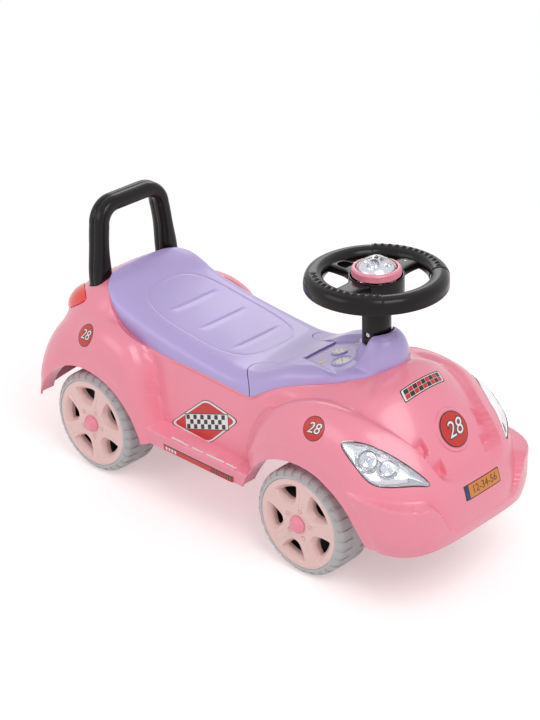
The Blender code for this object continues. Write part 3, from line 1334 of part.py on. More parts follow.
def make_spring():
    """The return spring between board and dish, as one coiled wire."""
    turns, per_turn, sides = 4, 9, 4
    low = BOARD_TOP + GAP + SPRING_WIRE
    high = BOARD_TOP + SPRING_LENGTH - GAP - SPRING_WIRE
    loops = []
    for step in range(turns * per_turn + 1):
        angle = step * 2 * math.pi / per_turn
        rise = low + (high - low) * step / (turns * per_turn)
        loop = []
        for side in range(sides):
            around = side * 2 * math.pi / sides
            radius = SPRING_RADIUS + SPRING_WIRE * math.cos(around)
            height = rise + SPRING_WIRE * math.sin(around)
            loop.append((radius * math.cos(angle), radius * math.sin(angle), height))
        loops.append(np.array(loop))
    spring = loft("dome_spring", loops, caps=True)
    spring.data.transform(Matrix.Rotation(-COLUMN_TILT, 4, "X"))
    return on_column(spring)


main()
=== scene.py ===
"""Looks of the push car: fine surfaces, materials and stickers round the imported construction.

Metres, +Z up. The car faces -Y, its right side is -X, and x = 0 is its plane of symmetry.
"""
import math

import bmesh
import bpy
import numpy as np
from mathutils import Matrix, Vector


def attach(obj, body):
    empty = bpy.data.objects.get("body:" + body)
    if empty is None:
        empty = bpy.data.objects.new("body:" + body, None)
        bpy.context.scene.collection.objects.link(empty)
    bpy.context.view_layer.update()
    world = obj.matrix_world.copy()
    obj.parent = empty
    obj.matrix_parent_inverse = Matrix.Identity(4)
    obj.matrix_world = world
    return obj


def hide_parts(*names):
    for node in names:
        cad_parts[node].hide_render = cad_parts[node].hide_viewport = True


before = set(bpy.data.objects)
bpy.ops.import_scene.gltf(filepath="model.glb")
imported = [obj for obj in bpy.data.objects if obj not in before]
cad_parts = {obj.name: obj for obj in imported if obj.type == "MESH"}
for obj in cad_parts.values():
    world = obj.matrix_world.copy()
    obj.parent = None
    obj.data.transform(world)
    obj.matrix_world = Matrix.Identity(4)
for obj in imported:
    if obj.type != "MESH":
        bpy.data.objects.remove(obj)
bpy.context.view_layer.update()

# The photograph's camera
CAMERA_PLACE = (-1.652217, -1.524439, 1.375099)
CAMERA_AZIMUTH = -46.98650
CAMERA_ELEVATION = 27.55502
CAMERA_ROLL = -0.14838
LENS_MM = 100.49
SENSOR_MM = 36.0

# Sizes that the construction gives
WHEEL_RADIUS = 0.071
TYRE_HALF = 0.030
HUB_X = 0.088
FRONT_AXLE_Y = -0.1375
REAR_AXLE_Y = 0.2305
RIM_RADIUS = 0.0599
GAP = 0.0003
WALL = 0.0028
LEDGE = 0.009
FRONT_ARCH = (-0.148, 0.055, 0.107)
REAR_ARCH = (0.224, 0.057, 0.101)
STEERING_CENTRE = Vector((0.0, -0.155, 0.3586))
COLUMN_TILT = math.radians(2)
COLUMN_AXIS = Vector((0.0, math.sin(COLUMN_TILT), math.cos(COLUMN_TILT)))

# Colours, as linear red, green and blue
PINK = (0.95, 0.295, 0.395)
PINK_CAP = (0.96, 0.31, 0.42)
LILAC = (0.50, 0.400, 0.755)
PALE = (0.93, 0.65, 0.62)
TYRE_GREY = (0.56, 0.57, 0.58)
BLACK = (0.007, 0.005, 0.005)
LAMP_RED = (0.90, 0.025, 0.012)
STICKER_RED = (0.62, 0.025, 0.022)
STICKER_WHITE = (0.86, 0.85, 0.86)
STICKER_BLACK = (0.012, 0.010, 0.010)
PLATE_ORANGE = (0.72, 0.24, 0.03)
PLATE_BLUE = (0.02, 0.035, 0.16)


# Materials

def new_tint(name):
    """A material with its nodes, its links and its principled shader."""
    tint = bpy.data.materials.new(name)
    tint.use_nodes = True
    return tint, tint.node_tree.nodes, tint.node_tree.links, tint.node_tree.nodes["Principled BSDF"]


def set_inputs(node, settings):
    for socket, value in settings.items():
        node.inputs[socket].default_value = value
    return node


def add_noise(nodes, links, place, settings):
    """A noise texture in the object's own space."""
    noise = set_inputs(nodes.new("ShaderNodeTexNoise"), settings)
    links.new(place.outputs["Object"], noise.inputs["Vector"])
    return noise


def vary_gloss(nodes, links, shader, noise, low, high):
    gloss = set_inputs(nodes.new("ShaderNodeMapRange"), {"To Min": low, "To Max": high})
    links.new(noise.outputs["Fac"], gloss.inputs["Value"])
    links.new(gloss.outputs["Result"], shader.inputs["Roughness"])


def plastic(name, colour, roughness, grain=0.06, coat=0.25, drift=0.02, metallic=0.0, specular=0.5):
    """Moulded plastic: a faint drift of colour, uneven gloss and a very fine grain."""
    tint, nodes, links, shader = new_tint(name)
    set_inputs(shader, {"Metallic": metallic, "Coat Weight": coat, "Coat Roughness": 0.09,
                        "Specular IOR Level": specular})
    place = nodes.new("ShaderNodeTexCoord")
    broad = add_noise(nodes, links, place, {"Scale": 5.0, "Detail": 3.0})
    ramp = nodes.new("ShaderNodeValToRGB")
    for end, position, change in zip(ramp.color_ramp.elements, (0.30, 0.70), (-drift, drift * 0.6)):
        end.position = position
        end.color = (*[min(1.0, c * (1 + change)) for c in colour], 1)
    links.new(broad.outputs["Fac"], ramp.inputs["Fac"])
    links.new(ramp.outputs["Color"], shader.inputs["Base Color"])
    wear = add_noise(nodes, links, place, {"Scale": 60.0, "Detail": 6.0})
    vary_gloss(nodes, links, shader, wear, roughness * 0.94, roughness * 1.08)
    fine = add_noise(nodes, links, place, {"Scale": 900.0, "Detail": 2.0})
    bump = set_inputs(nodes.new("ShaderNodeBump"), {"Strength": grain, "Distance": 0.0002})
    links.new(fine.outputs["Fac"], bump.inputs["Height"])
    links.new(bump.outputs["Normal"], shader.inputs["Normal"])
    return tint


def metal(name, colour, roughness):
    return plastic(name, colour, roughness, grain=0.03, coat=0.0, drift=0.04, metallic=1.0)


def clear_plastic(name, colour, roughness=0.03, ior=1.49):
    tint, nodes, links, shader = new_tint(name)
    set_inputs(shader, {"Base Color": (*colour, 1), "Transmission Weight": 1.0, "IOR": ior})
    haze = add_noise(nodes, links, nodes.new("ShaderNodeTexCoord"), {"Scale": 40.0})
    vary_gloss(nodes, links, shader, haze, roughness * 0.6, roughness * 1.6)
    return tint


MATERIALS = {
    "pink": plastic("pink_gloss", PINK, 0.26),
    "cap": plastic("pink_cap_gloss", PINK_CAP, 0.24),
    "lilac": plastic("lilac_gloss", LILAC, 0.30),
    "pale": plastic("pale_pink_satin", PALE, 0.36, coat=0.12),
    "tyre": plastic("grey_tyre_satin", TYRE_GREY, 0.52, grain=0.35, coat=0.0),
    "black": plastic("black_gloss", BLACK, 0.20, coat=0.0, specular=0.26),
    "nylon": plastic("dark_nylon", (0.035, 0.035, 0.038), 0.50, grain=0.3, coat=0.0),
    "clear": clear_plastic("clear_lens", (0.97, 0.98, 1.0)),
    "silver": metal("metallised_silver", (0.74, 0.74, 0.77), 0.18),
    "steel": metal("bright_steel", (0.60, 0.60, 0.62), 0.28),
    "lamp": plastic("red_lamp_gloss", LAMP_RED, 0.16, coat=0.5),
    "board": plastic("board_green", (0.02, 0.16, 0.06), 0.45),
    "sticker_red": plastic("sticker_red", STICKER_RED, 0.30, grain=0.02, coat=0.1),
    "sticker_white": plastic("sticker_white", STICKER_WHITE, 0.32, grain=0.02, coat=0.1, drift=0.02),
    "sticker_black": plastic("sticker_black", STICKER_BLACK, 0.32, grain=0.02, coat=0.1),
    "plate_orange": plastic("plate_orange", PLATE_ORANGE, 0.32, grain=0.02, coat=0.1),
    "plate_blue": plastic("plate_blue", PLATE_BLUE, 0.32, grain=0.02, coat=0.1),
    "dial_white": plastic("dial_white", (0.80, 0.80, 0.76), 0.35, grain=0.02, coat=0.1, drift=0.03),
    "mark_yellow": plastic("mark_yellow", (0.80, 0.62, 0.10), 0.35, grain=0.02, coat=0.1),
    # Painted glint: two of the dome's bulbs are coloured magenta to stand in for the purple glints in the reflector
    # cups
    "magenta_glint": plastic("bulb_magenta", (0.78, 0.20, 0.66), 0.25, coat=0.2),
}


# Mesh tools

def new_object(name, points, faces, tint, sharp=35.0, merge=0.0):
    mesh = bpy.data.meshes.new(name)
    mesh.from_pydata([tuple(map(float, point)) for point in points], [], faces)
    work = bmesh.new()
    work.from_mesh(mesh)
    if merge:
        bmesh.ops.remove_doubles(work, verts=work.verts, dist=merge)
    bmesh.ops.recalc_face_normals(work, faces=work.faces)
    work.to_mesh(mesh)
    work.free()
    item = bpy.data.objects.new(name, mesh)
    bpy.context.scene.collection.objects.link(item)
    paint(item, tint, sharp)
    return item


def paint(item, tint, sharp=35.0):
    item.data.materials.clear()
    item.data.materials.append(MATERIALS[tint])
    item.data.shade_smooth()
    if sharp:
        item.data.set_sharp_from_angle(angle=math.radians(sharp))


def grid_faces(rows, columns, wrap=True):
    """Quads between rows of equal length."""
    faces = []
    for row in range(rows - 1):
        low = row * columns
        for index in range(columns if wrap else columns - 1):
            after = (index + 1) % columns
            faces.append((low + index, low + after, low + columns + after, low + columns + index))
    return faces


def loft(name, loops, tint, caps=False, ring=False, sharp=35.0, merge=0.0):
    count = len(loops[0])
    faces = grid_faces(len(loops), count)
    last = (len(loops) - 1) * count
    if ring:
        for index in range(count):
            after = (index + 1) % count
            faces.append((last + index, last + after, after, index))
    if caps:
        faces += [tuple(range(count)), tuple(range(last, last + count))]
    return new_object(name, np.concatenate(loops), faces, tint, sharp, merge)


def turned(name, profile, tint, segments=72, axis=(0, 0, 1), ring=False, sharp=35.0):
    """A profile of (radius, height) turned round an axis through the origin."""
    angles = np.arange(segments) * 2 * math.pi / segments
    turn = np.array(Vector((0, 0, 1)).rotation_difference(Vector(axis)).to_matrix())
    loops = []
    for radius, height in profile:
        circle = np.stack([radius * np.cos(angles), radius * np.sin(angles), 0 * angles + height], 1)
        loops.append(circle @ turn.T)
    return loft(name, loops, tint, ring=ring, sharp=sharp, merge=1e-6)


def arc(centre, radius, start, end, steps):
    """Points on an arc, in degrees."""
    return [(centre[0] + radius * math.cos(math.radians(angle)),
             centre[1] + radius * math.sin(math.radians(angle)))
            for angle in np.linspace(start, end, steps)]


def rounded(profile, radius, steps=5):
    """The same outline of points with each inner corner rounded off."""
    points = [profile[0]]
    for before, here, after in zip(profile, profile[1:], profile[2:]):
        here = Vector(here)
        back = Vector(before) - here
        ahead = Vector(after) - here
        reach = min(radius, back.length * 0.45, ahead.length * 0.45)
        start = here + back.normalized() * reach
        end = here + ahead.normalized() * reach
        for share in np.linspace(0, 1, steps):
            points.append(tuple(start * (1 - share) ** 2 + here * 2 * share * (1 - share) + end * share ** 2))
    points.append(profile[-1])
    return points


def apply_modifiers(item):
    graph = bpy.context.evaluated_depsgraph_get()
    mesh = bpy.data.meshes.new_from_object(item.evaluated_get(graph))
    item.modifiers.clear()
    item.data = mesh
    return item


def cut(item, cutters, operation="DIFFERENCE", solver="MANIFOLD"):
    """Cuts with other objects, which are then removed."""
    for cutter in cutters:
        step = item.modifiers.new(cutter.name, "BOOLEAN")
        step.operation = operation
        step.object = cutter
        step.solver = solver
    apply_modifiers(item)
    for cutter in cutters:
        bpy.data.objects.remove(cutter)
    return item


def move(item, offset):
    item.data.transform(Matrix.Translation(Vector(offset)))
    return item


def on_column(item, height=0.0):
    """From the column's own direction through the origin to the steering wheel's centre."""
    return move(item, STEERING_CENTRE + COLUMN_AXIS * height)


def tilt(item):
    item.data.transform(Matrix.Rotation(-COLUMN_TILT, 4, "X"))
    return item


# The body's outside, as a field that is negative inside. The construction's shell comes from a plainer one,
# without the pockets and with a rounder shoulder on the rear fenders

def smooth_step(low, high, value):
    share = np.clip((value - low) / (high - low), 0.0, 1.0)
    return share * share * (3.0 - 2.0 * share)


def smooth_min(first, second, blend):
    share = np.maximum(blend - np.abs(first - second), 0.0) / blend
    return np.minimum(first, second) - share * share * blend * 0.25


def smooth_max(first, second, blend):
    return -smooth_min(-first, -second, blend)


def curve_through(knots, value):
    """A smooth curve through (value, result) knots that never overshoots them."""
    x = np.array([knot[0] for knot in knots])
    y = np.array([knot[1] for knot in knots])
    step = np.diff(x)
    slope = np.diff(y) / step
    tangent = np.concatenate([slope[:1], (slope[:-1] + slope[1:]) / 2, slope[-1:]])
    turning = np.concatenate([[False], slope[:-1] * slope[1:] <= 0, [False]])
    tangent[turning] = 0.0
    most = 3.0 * np.minimum(np.abs(np.append(slope, slope[-1])), np.abs(np.append(slope[0], slope)))
    tangent = np.clip(tangent, -most, most)
    value = np.clip(value, x[0], x[-1])
    index = np.clip(np.searchsorted(x, value, side="right") - 1, 0, len(step) - 1)
    t = (value - x[index]) / step[index]
    h = step[index]
    return (y[index] * (1 + 2 * t) * (1 - t) ** 2 + h * tangent[index] * t * (1 - t) ** 2
            + y[index + 1] * t * t * (3 - 2 * t) + h * tangent[index + 1] * t * t * (t - 1))


def nose_field(x, y, z):
    length = np.where(y < -0.170, 0.160, 0.148)
    height = np.where(z > 0.120, 0.127, 0.080)
    profile = ((y + 0.170) / length) ** 2 + ((z - 0.120) / height) ** 2
    squareness = 3.0 + smooth_step(-0.27, -0.20, y)
    across = (x / 0.130) ** squareness
    return ((across + profile ** (squareness / 2)) ** (1 / squareness) - 1) * 0.12


def bumper_field(x, y, z):
    ahead = np.minimum(y + 0.200, 0.0) / 0.130
    tuck = 1.0 - 0.55 * np.maximum((0.122 - z) / 0.040, 0.0) ** 2 * 0.12
    plan = (((x / 0.130) ** 4 + ahead ** 4) ** 0.25 - tuck) * 0.130
    line = 0.113 + 0.043 * smooth_step(0.055, 0.088, x)
    top = smooth_max(plan - 0.0003, (z - line) * 0.8, 0.003)
    return smooth_max(top, y + 0.16, 0.006)


SPINE = (
    (-0.3030, 0.120), (-0.3000, 0.145), (-0.2960, 0.1655), (-0.2900, 0.187), (-0.2780, 0.2095),
    (-0.2650, 0.2255), (-0.2500, 0.2395), (-0.2300, 0.2540), (-0.2150, 0.2620), (-0.1990, 0.2668),
    (-0.1775, 0.2635), (-0.0900, 0.2620), (-0.0560, 0.2515), (-0.0340, 0.2390), (0.1200, 0.2435),
    (0.1550, 0.2465), (0.1900, 0.2550), (0.2130, 0.2720))


def bonnet_field(x, y, z):
    top = curve_through(SPINE, y)
    fall = (curve_through(SPINE, y + 0.001) - curve_through(SPINE, y - 0.001)) / 0.002
    roof = (z - top + 5.3 * x * x) / np.sqrt(1 + fall * fall)
    wall = x - (0.0905 + (0.19 - z) * 0.08)
    ends = np.maximum(y - 0.215, -0.302 - y)
    return smooth_max(smooth_max(roof, wall, 0.006), ends, 0.006)


def tail_field(x, y, z):
    height = np.where(z > 0.130, 0.136, 0.090)
    profile = np.abs((y - 0.170) / 0.162) ** 3 + np.abs((z - 0.130) / height) ** 3
    width = 0.107 - 0.0155 * smooth_step(0.270, 0.160, y)
    value = (((x / width) ** 4 + profile ** (4 / 3)) ** 0.25 - 1) * 0.12
    return smooth_max(value, 0.10 - y, 0.020)


def rear_fender_field(x, y, z):
    dy = y - REAR_ARCH[0]
    dz = z - REAR_ARCH[1]
    radius = np.hypot(dy, dz)
    angle = np.degrees(np.arctan2(dz, dy))
    outer = curve_through(
        ((-30, 0.108), (0, 0.113), (20, 0.124), (38, 0.1433), (60, 0.160), (90, 0.170), (109, 0.171),
         (123, 0.159), (140, 0.132), (170, 0.120), (200, 0.118)), angle)
    rise = np.maximum((radius - 0.092) / (outer - 0.092), 0.0)
    flare = np.maximum((x - 0.075) / 0.055, 0.0)
    square = 2.0 + 1.6 * smooth_step(75, 105, angle) * smooth_step(175, 130, angle)
    value = ((rise ** square + flare ** square) ** (1 / square) - 1) * 0.05
    return smooth_max(value, y - 0.3295, 0.006)


def running_board_field(x, y, z):
    side = x - 0.120 - (z - 0.095) * 0.1
    ends = np.abs(y - 0.030) - 0.110
    return smooth_max(smooth_max(side, z - 0.108, 0.005), ends, 0.004)


CREST = ((-0.330, 0.055), (-0.300, 0.0605), (-0.267, 0.0680), (-0.245, 0.0780), (-0.227, 0.0870),
         (-0.190, 0.0950), (-0.145, 0.0990), (-0.080, 0.1060))
GRILLE_LIP = ((0.0, 0.1650), (0.034, 0.1670), (0.052, 0.1745), (0.0605, 0.1830), (0.080, 0.200))
SLOT_DEPTH = 0.0065
GRILLE_SLOTS = ((0.0460, 0.0655, -0.279, -0.265), (0.0360, 0.0565, -0.299, -0.287))


def grille_depth(x, y, z):
    """The two pockets on each side of the bonnet's tip."""
    depth = 0.0 * x
    for near, far, low, high in GRILLE_SLOTS:
        across = smooth_step(near, near + 0.0015, x) * (1 - smooth_step(far - 0.0015, far, x))
        along = smooth_step(low, low + 0.0015, y) * (1 - smooth_step(high - 0.0015, high, y))
        depth = np.maximum(depth, across * along)
    return SLOT_DEPTH * depth * smooth_step(0.160, 0.166, z)


def arch_band(x, y, z):
    """A flat band round each wheel arch, a little lower than the fender beside it."""
    sink = 0.0
    for (cy, cz, radius), width, depth in ((FRONT_ARCH, 0.017, 0.0016), (REAR_ARCH, 0.012, 0.0010)):
        edge = np.hypot(y - cy, z - cz) - radius - width
        sink = sink + depth * (1 - smooth_step(-0.0035, 0.0035, edge)) * smooth_step(0.098, 0.106, x)
    return sink


def body_field(x, y, z, detail=True):
    x = np.abs(x)
    value = nose_field(x, y, z)
    crest = curve_through(CREST, y)
    depth = curve_through(
        ((-0.300, 0.0100), (-0.267, 0.0090), (-0.235, 0.0060), (-0.190, 0.0100), (-0.100, 0.0100)), y)
    slope = curve_through(((-0.270, 0.006), (-0.235, 0.012), (-0.190, 0.028), (-0.080, 0.030)), y)
    lip = curve_through(GRILLE_LIP, x)
    share = np.clip((crest - x) / slope, 0.0, 1.0)
    inside = share * share * (3 - 2 * share) * smooth_step(-0.003, 0.003, z - lip)
    value = value + depth * inside
    value = smooth_min(value, bonnet_field(x, y, z), 0.004)
    if detail:
        value = value + grille_depth(x, y, z)
    value = smooth_min(value, bumper_field(x, y, z), 0.004)
    value = smooth_min(value, tail_field(x, y, z), 0.010)
    value = smooth_min(value, rear_fender_field(x, y, z), 0.006)
    value = smooth_min(value, running_board_field(x, y, z), 0.003)
    if detail:
        value = value + arch_band(x, y, z)
    return value


def march(origin, direction, far, near, steps, level=0.0, detail=True):
    """The outermost crossing of each ray between two distances, as a distance."""
    far = np.broadcast_to(far, len(origin)).astype(float)
    near = np.broadcast_to(near, len(origin)).astype(float)
    outside = far.copy()
    inside = np.full(len(origin), np.nan)
    for share in np.linspace(0.0, 1.0, steps):
        step = far + (near - far) * share
        point = origin + direction * step[:, None]
        now_in = (body_field(*point.T, detail) < level) & np.isnan(inside)
        inside[now_in] = step[now_in]
        outside = np.where(np.isnan(inside), step, outside)
    inside = np.where(np.isnan(inside), near, inside)
    for _ in range(16):
        middle = (outside + inside) / 2
        is_in = body_field(*(origin + direction * middle[:, None]).T, detail) < level
        inside = np.where(is_in, middle, inside)
        outside = np.where(is_in, outside, middle)
    return (outside + inside) / 2


def surface_normals(points):
    """Outward unit normals of the field at points on or near it."""
    reach = 0.0004
    slopes = []
    for axis in np.eye(3):
        ahead = body_field(*(points + axis * reach).T)
        behind = body_field(*(points - axis * reach).T)
        slopes.append(ahead - behind)
    normal = np.stack(slopes, axis=1)
    return normal / np.maximum(np.linalg.norm(normal, axis=1, keepdims=True), 1e-12)


SEAM = (
    (-0.1990, 0.0000, 0.2668), (-0.1975, 0.0100, 0.2658), (-0.1930, 0.0200, 0.2635),
    (-0.1865, 0.0300, 0.2595), (-0.1775, 0.0400, 0.2550), (-0.1600, 0.0510, 0.2488),
    (-0.1430, 0.0610, 0.2428), (-0.1180, 0.0715, 0.2365), (-0.0900, 0.0800, 0.2280),
    (-0.0720, 0.0850, 0.2200), (-0.0560, 0.0885, 0.2105), (-0.0340, 0.0905, 0.1955),
    (0.0080, 0.0905, 0.1975), (0.0500, 0.0905, 0.2000), (0.1200, 0.0905, 0.2005),
    (0.1550, 0.0900, 0.2035), (0.1900, 0.0890, 0.2130), (0.2130, 0.0860, 0.2330),
    (0.2260, 0.0810, 0.2470), (0.2360, 0.0740, 0.2560), (0.2450, 0.0600, 0.2625),
    (0.2500, 0.0400, 0.2650), (0.2515, 0.0000, 0.2665))


def seam_point(share):
    """A point of the shell's upper line, from 0 at the front to 1 at the back, on a smooth curve."""
    seam = np.array(SEAM)
    run = np.concatenate([[0], np.cumsum(np.linalg.norm(np.diff(seam, axis=0), axis=1))])
    run = run / run[-1]
    share = np.asarray(share, float)
    return np.stack([np.interp(share, run, seam[:, column]) for column in (1, 0, 2)], axis=-1)


def hem_point(angle):
    across = np.sin(angle)
    along = -np.cos(angle)
    plan = (np.abs(across / 0.128) ** 4 + np.abs(along / 0.330) ** 4) ** -0.25
    x = across * plan
    y = along * plan
    height = curve_through(
        ((-0.34, 0.098), (-0.26, 0.091), (-0.05, 0.083), (0.12, 0.083), (0.30, 0.094), (0.34, 0.099)), y)
    return np.stack([x, y, height], axis=-1)


def smoothed(line, passes, keep):
    """Softens the corners of an open line of points, away from the places to keep."""
    line = line.copy()
    for _ in range(passes):
        middle = (line[:-2] + line[2:]) / 2
        line[1:-1] = np.where(keep[1:-1, None], line[1:-1], (line[1:-1] + middle) / 2)
    return line


NOSE_COLUMNS = 210
SIDE_COLUMNS = 60
TAIL_COLUMNS = 90
SHELL_ROWS = 150
SIDE_CORNER_Y = -0.034


def shell_stations():
    shares = np.concatenate([np.linspace(0.0, 0.40, NOSE_COLUMNS, endpoint=False),
                             np.linspace(0.40, 0.78, SIDE_COLUMNS, endpoint=False),
                             np.linspace(0.78, 1.0, TAIL_COLUMNS)])
    hem_angle = curve_through(((0.0, 0.0), (0.12, 0.20), (0.24, 0.46), (0.40, 1.25), (0.50, 1.62),
                               (0.66, 2.16), (0.78, 2.60), (0.90, 2.90), (1.0, math.pi)), shares)
    seam = seam_point(shares)
    keep = np.abs(seam[:, 1] - SIDE_CORNER_Y) < 0.0012
    seam = smoothed(seam, 24, keep)
    seam[0, 0] = 0.0
    seam[-1, 0] = 0.0
    return seam, hem_point(hem_angle)


def ledge_loop(seam, inset):
    """The seam moved inwards in plan."""
    run = np.gradient(seam[:, :2], axis=0)
    run[0] = (1.0, 0.0)
    run[-1] = (-1.0, 0.0)
    side = np.stack([-run[:, 1], run[:, 0]], axis=-1)
    side = side / np.linalg.norm(side, axis=1, keepdims=True)
    moved = seam.copy()
    moved[:, :2] += side * inset
    return moved


def full_loop(half):
    """A half loop, nose to tail on the right, closed with its mirror image."""
    return np.concatenate([half, half[-2:0:-1] * np.array([-1.0, 1.0, 1.0])])


def shell_surface():
    """Rows of points from the seam down to the hem, each round half of the car."""
    seam, hem = shell_stations()
    centre_y = np.clip((seam[:, 1] + hem[:, 1]) / 2, -0.140, 0.200)
    centre = np.stack([0 * centre_y, centre_y, 0 * centre_y + 0.125], axis=-1)
    shares = np.linspace(0.0, 1.0, SHELL_ROWS)
    shares = shares + 0.05 * np.sin(2 * math.pi * shares) / (2 * math.pi)
    coarse_rows = np.arange(0, SHELL_ROWS, 5)
    coarse_rows = np.unique(np.append(coarse_rows, SHELL_ROWS - 1))

    def aims(share):
        target = seam + (hem - seam) * share
        bulge = (target - centre) * (1.6 * share * (1 - share))
        aim = target + bulge - centre
        return aim / np.linalg.norm(aim, axis=1, keepdims=True)

    coarse = np.stack([march(centre, aims(shares[row]), 0.30, 0.005, 150, detail=False)
                       for row in coarse_rows])
    rows = []
    for row, share in enumerate(shares):
        aim = aims(share)
        guess = np.stack([np.interp(row, coarse_rows, coarse[:, column]) for column in range(len(seam))])
        distance = march(centre, aim, guess + 0.009, guess - 0.016, 22)
        rows.append(centre + aim * distance[:, None])
    rows[0] = seam
    return rows


# Body shell

def arch_drum(name, arch, reach=0.16, segments=160):
    y, z, radius = arch
    drum = turned(name, [(0, -reach), (radius, -reach), (radius, reach), (0, reach)], "pink", segments,
                  axis=(1, 0, 0))
    return move(drum, (0, y, z))


def make_body():
    rows = shell_surface()
    seam = rows[0]
    # The top edge turns over a small radius before it meets the seat
    round_in = []
    for share in (0.25, 0.6, 1.0):
        edge = ledge_loop(seam, 0.0016 * math.sin(share * math.pi / 2))
        edge[:, 2] = edge[:, 2] + 0.0010 * math.sin(share * math.pi)
        round_in.append(edge)
    rows[0] = seam - np.array([0.0, 0.0, 0.0004])
    loops = [ledge_loop(seam, LEDGE)] + round_in[::-1] + rows
    inner = []
    for row in rows[::-1]:
        inner.append(row - surface_normals(row) * WALL)
    drop = np.array([0.0, 0.0, -WALL])
    inner[-1] = ledge_loop(seam, WALL) + drop
    loops += inner + [ledge_loop(seam, LEDGE) + drop]
    full = [full_loop(loop) for loop in loops]
    for loop in full:
        loop[0, 0] = 0.0
    shell = loft("body_skin", full, "pink", ring=True, merge=1e-7)
    cutters = [arch_drum("front_arch_drum", FRONT_ARCH), arch_drum("rear_arch_drum", REAR_ARCH)]
    for side in (-1, 1):
        cutters += [lamp_window("headlight", side), lamp_window("tail", side), handle_socket(side)]
    cut(shell, cutters)
    paint(shell, "pink", sharp=32.0)
    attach(shell, "root")
    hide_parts("body_shell")
    for side in (-1, 1):
        for place, arch in (("front", FRONT_ARCH), ("rear", REAR_ARCH)):
            make_arch_lip(f"arch_lip_{place}_{side_name(side)}", side, arch)
    return shell


def side_name(side):
    return "right" if side < 0 else "left"


def make_arch_lip(name, side, arch):
    """The flange that turns inwards round a wheel arch, with a rolled outer edge."""
    y0, z0, radius = arch
    foot = math.degrees(math.asin((0.090 - z0) / radius))
    angles = np.radians(np.linspace(foot, 180 - foot, 90))
    middle = radius + 0.0014
    y = y0 + middle * np.cos(angles)
    z = z0 + middle * np.sin(angles)
    start = np.stack([0 * y, y, z], axis=-1)
    outward = np.tile(np.array([1.0, 0.0, 0.0]), (len(y), 1))
    reach = march(start, outward, 0.16, 0.02, 160)
    padded = np.pad(reach, 4, mode="edge")
    reach = np.convolve(padded, np.ones(9) / 9, mode="valid")
    section = [(0.0, -0.022), (0.0, -0.0012), (0.0004, -0.0002), (0.0012, 0.0002), (0.0022, -0.0003),
               (0.0028, -0.0014), (0.0028, -0.022)]
    loops = []
    for out, inward in section:
        distance = radius - 0.0003 + out
        x = reach + inward
        loops.append(np.stack([side * x, y0 + distance * np.cos(angles), z0 + distance * np.sin(angles)], 1))
    faces = []
    count = len(angles)
    for row in range(len(loops)):
        after = (row + 1) % len(loops)
        for index in range(count - 1):
            faces.append((row * count + index, row * count + index + 1, after * count + index + 1,
                          after * count + index))
    faces += [tuple(row * count for row in range(len(loops))),
              tuple(row * count + count - 1 for row in range(len(loops)))]
    lip = new_object(name, np.concatenate(loops), faces, "pink")
    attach(lip, "root")
    return lip


# Lamps

LAMPS = {
    "headlight": {
        "axis": (-0.648, -0.605, 0.463), "deep": 0.262, "proud": 0.0065, "rim_proud": 0.0004,
        "outline": ((-0.1177, -0.2058, 0.2116), (-0.1037, -0.2338, 0.2141), (-0.0864, -0.2716, 0.1986),
                    (-0.0730, -0.3025, 0.1757), (-0.0890, -0.2918, 0.1751), (-0.1151, -0.2563, 0.1730),
                    (-0.1205, -0.2284, 0.1911))},
    "tail": {
        "axis": (-0.60, 0.62, 0.50), "deep": 0.225, "proud": 0.004, "rim_proud": 0.0012,
        "outline": ((-0.0882, 0.2625, 0.2330), (-0.0620, 0.2930, 0.2360), (-0.0460, 0.3130, 0.2180),
                    (-0.0480, 0.3260, 0.1930), (-0.0700, 0.3160, 0.1960), (-0.0880, 0.2900, 0.2120))}}
LAMP_STEPS = 12


def lamp_axes(kind):
    along = np.array(LAMPS[kind]["axis"])
    along = along / np.linalg.norm(along)
    across = np.cross(along, (0.0, 0.0, 1.0))
    across = across / np.linalg.norm(across)
    return along, across, np.cross(across, along)


def lamp_outline(kind, grow=0.0):
    """A smooth closed curve through the lamp's corner points, on a plane across its axis."""
    _, across, upward = lamp_axes(kind)
    knots = np.array(LAMPS[kind]["outline"])
    flat = np.stack([knots @ across, knots @ upward], axis=1)
    points = []
    count = len(flat)
    for index in range(count):
        before, here, after, beyond = (flat[(index + step) % count] for step in (-1, 0, 1, 2))
        for share in np.arange(LAMP_STEPS) / LAMP_STEPS:
            points.append(0.5 * (2 * here + (after - before) * share
                                 + (2 * before - 5 * here + 4 * after - beyond) * share ** 2
                                 + (3 * here - before - 3 * after + beyond) * share ** 3))
    points = np.array(points)
    tangent = np.roll(points, -1, axis=0) - np.roll(points, 1, axis=0)
    normal = np.stack([tangent[:, 1], -tangent[:, 0]], axis=1)
    normal = normal / np.linalg.norm(normal, axis=1, keepdims=True)
    if np.sum(normal * (points - points.mean(axis=0))) < 0:
        normal = -normal
    return points + normal * grow


def in_space(kind, flat, depth):
    along, across, upward = lamp_axes(kind)
    return flat[:, :1] * across + flat[:, 1:] * upward + np.reshape(depth, (-1, 1)) * along


def lamp_surface(kind, flat):
    along = lamp_axes(kind)[0]
    start = in_space(kind, flat, LAMPS[kind]["deep"])
    aim = np.tile(along, (len(flat), 1))
    return (start + aim * march(start, aim, 0.12, 0.0, 240, detail=False)[:, None]) @ along


def mirrored(points, side):
    return points * np.array([-side, 1.0, 1.0])


def lamp_window(kind, side):
    flat = lamp_outline(kind, 0.0006)
    low = in_space(kind, flat, LAMPS[kind]["deep"])
    high = in_space(kind, flat, LAMPS[kind]["deep"] + 0.12)
    return loft(f"window_{kind}_{side}", [mirrored(low, side), mirrored(high, side)], "pink", caps=True)


SHEET_SHARES = (1.0, 0.985, 0.95, 0.88, 0.78, 0.66, 0.53, 0.40, 0.27, 0.14, 0.05, 0.0)


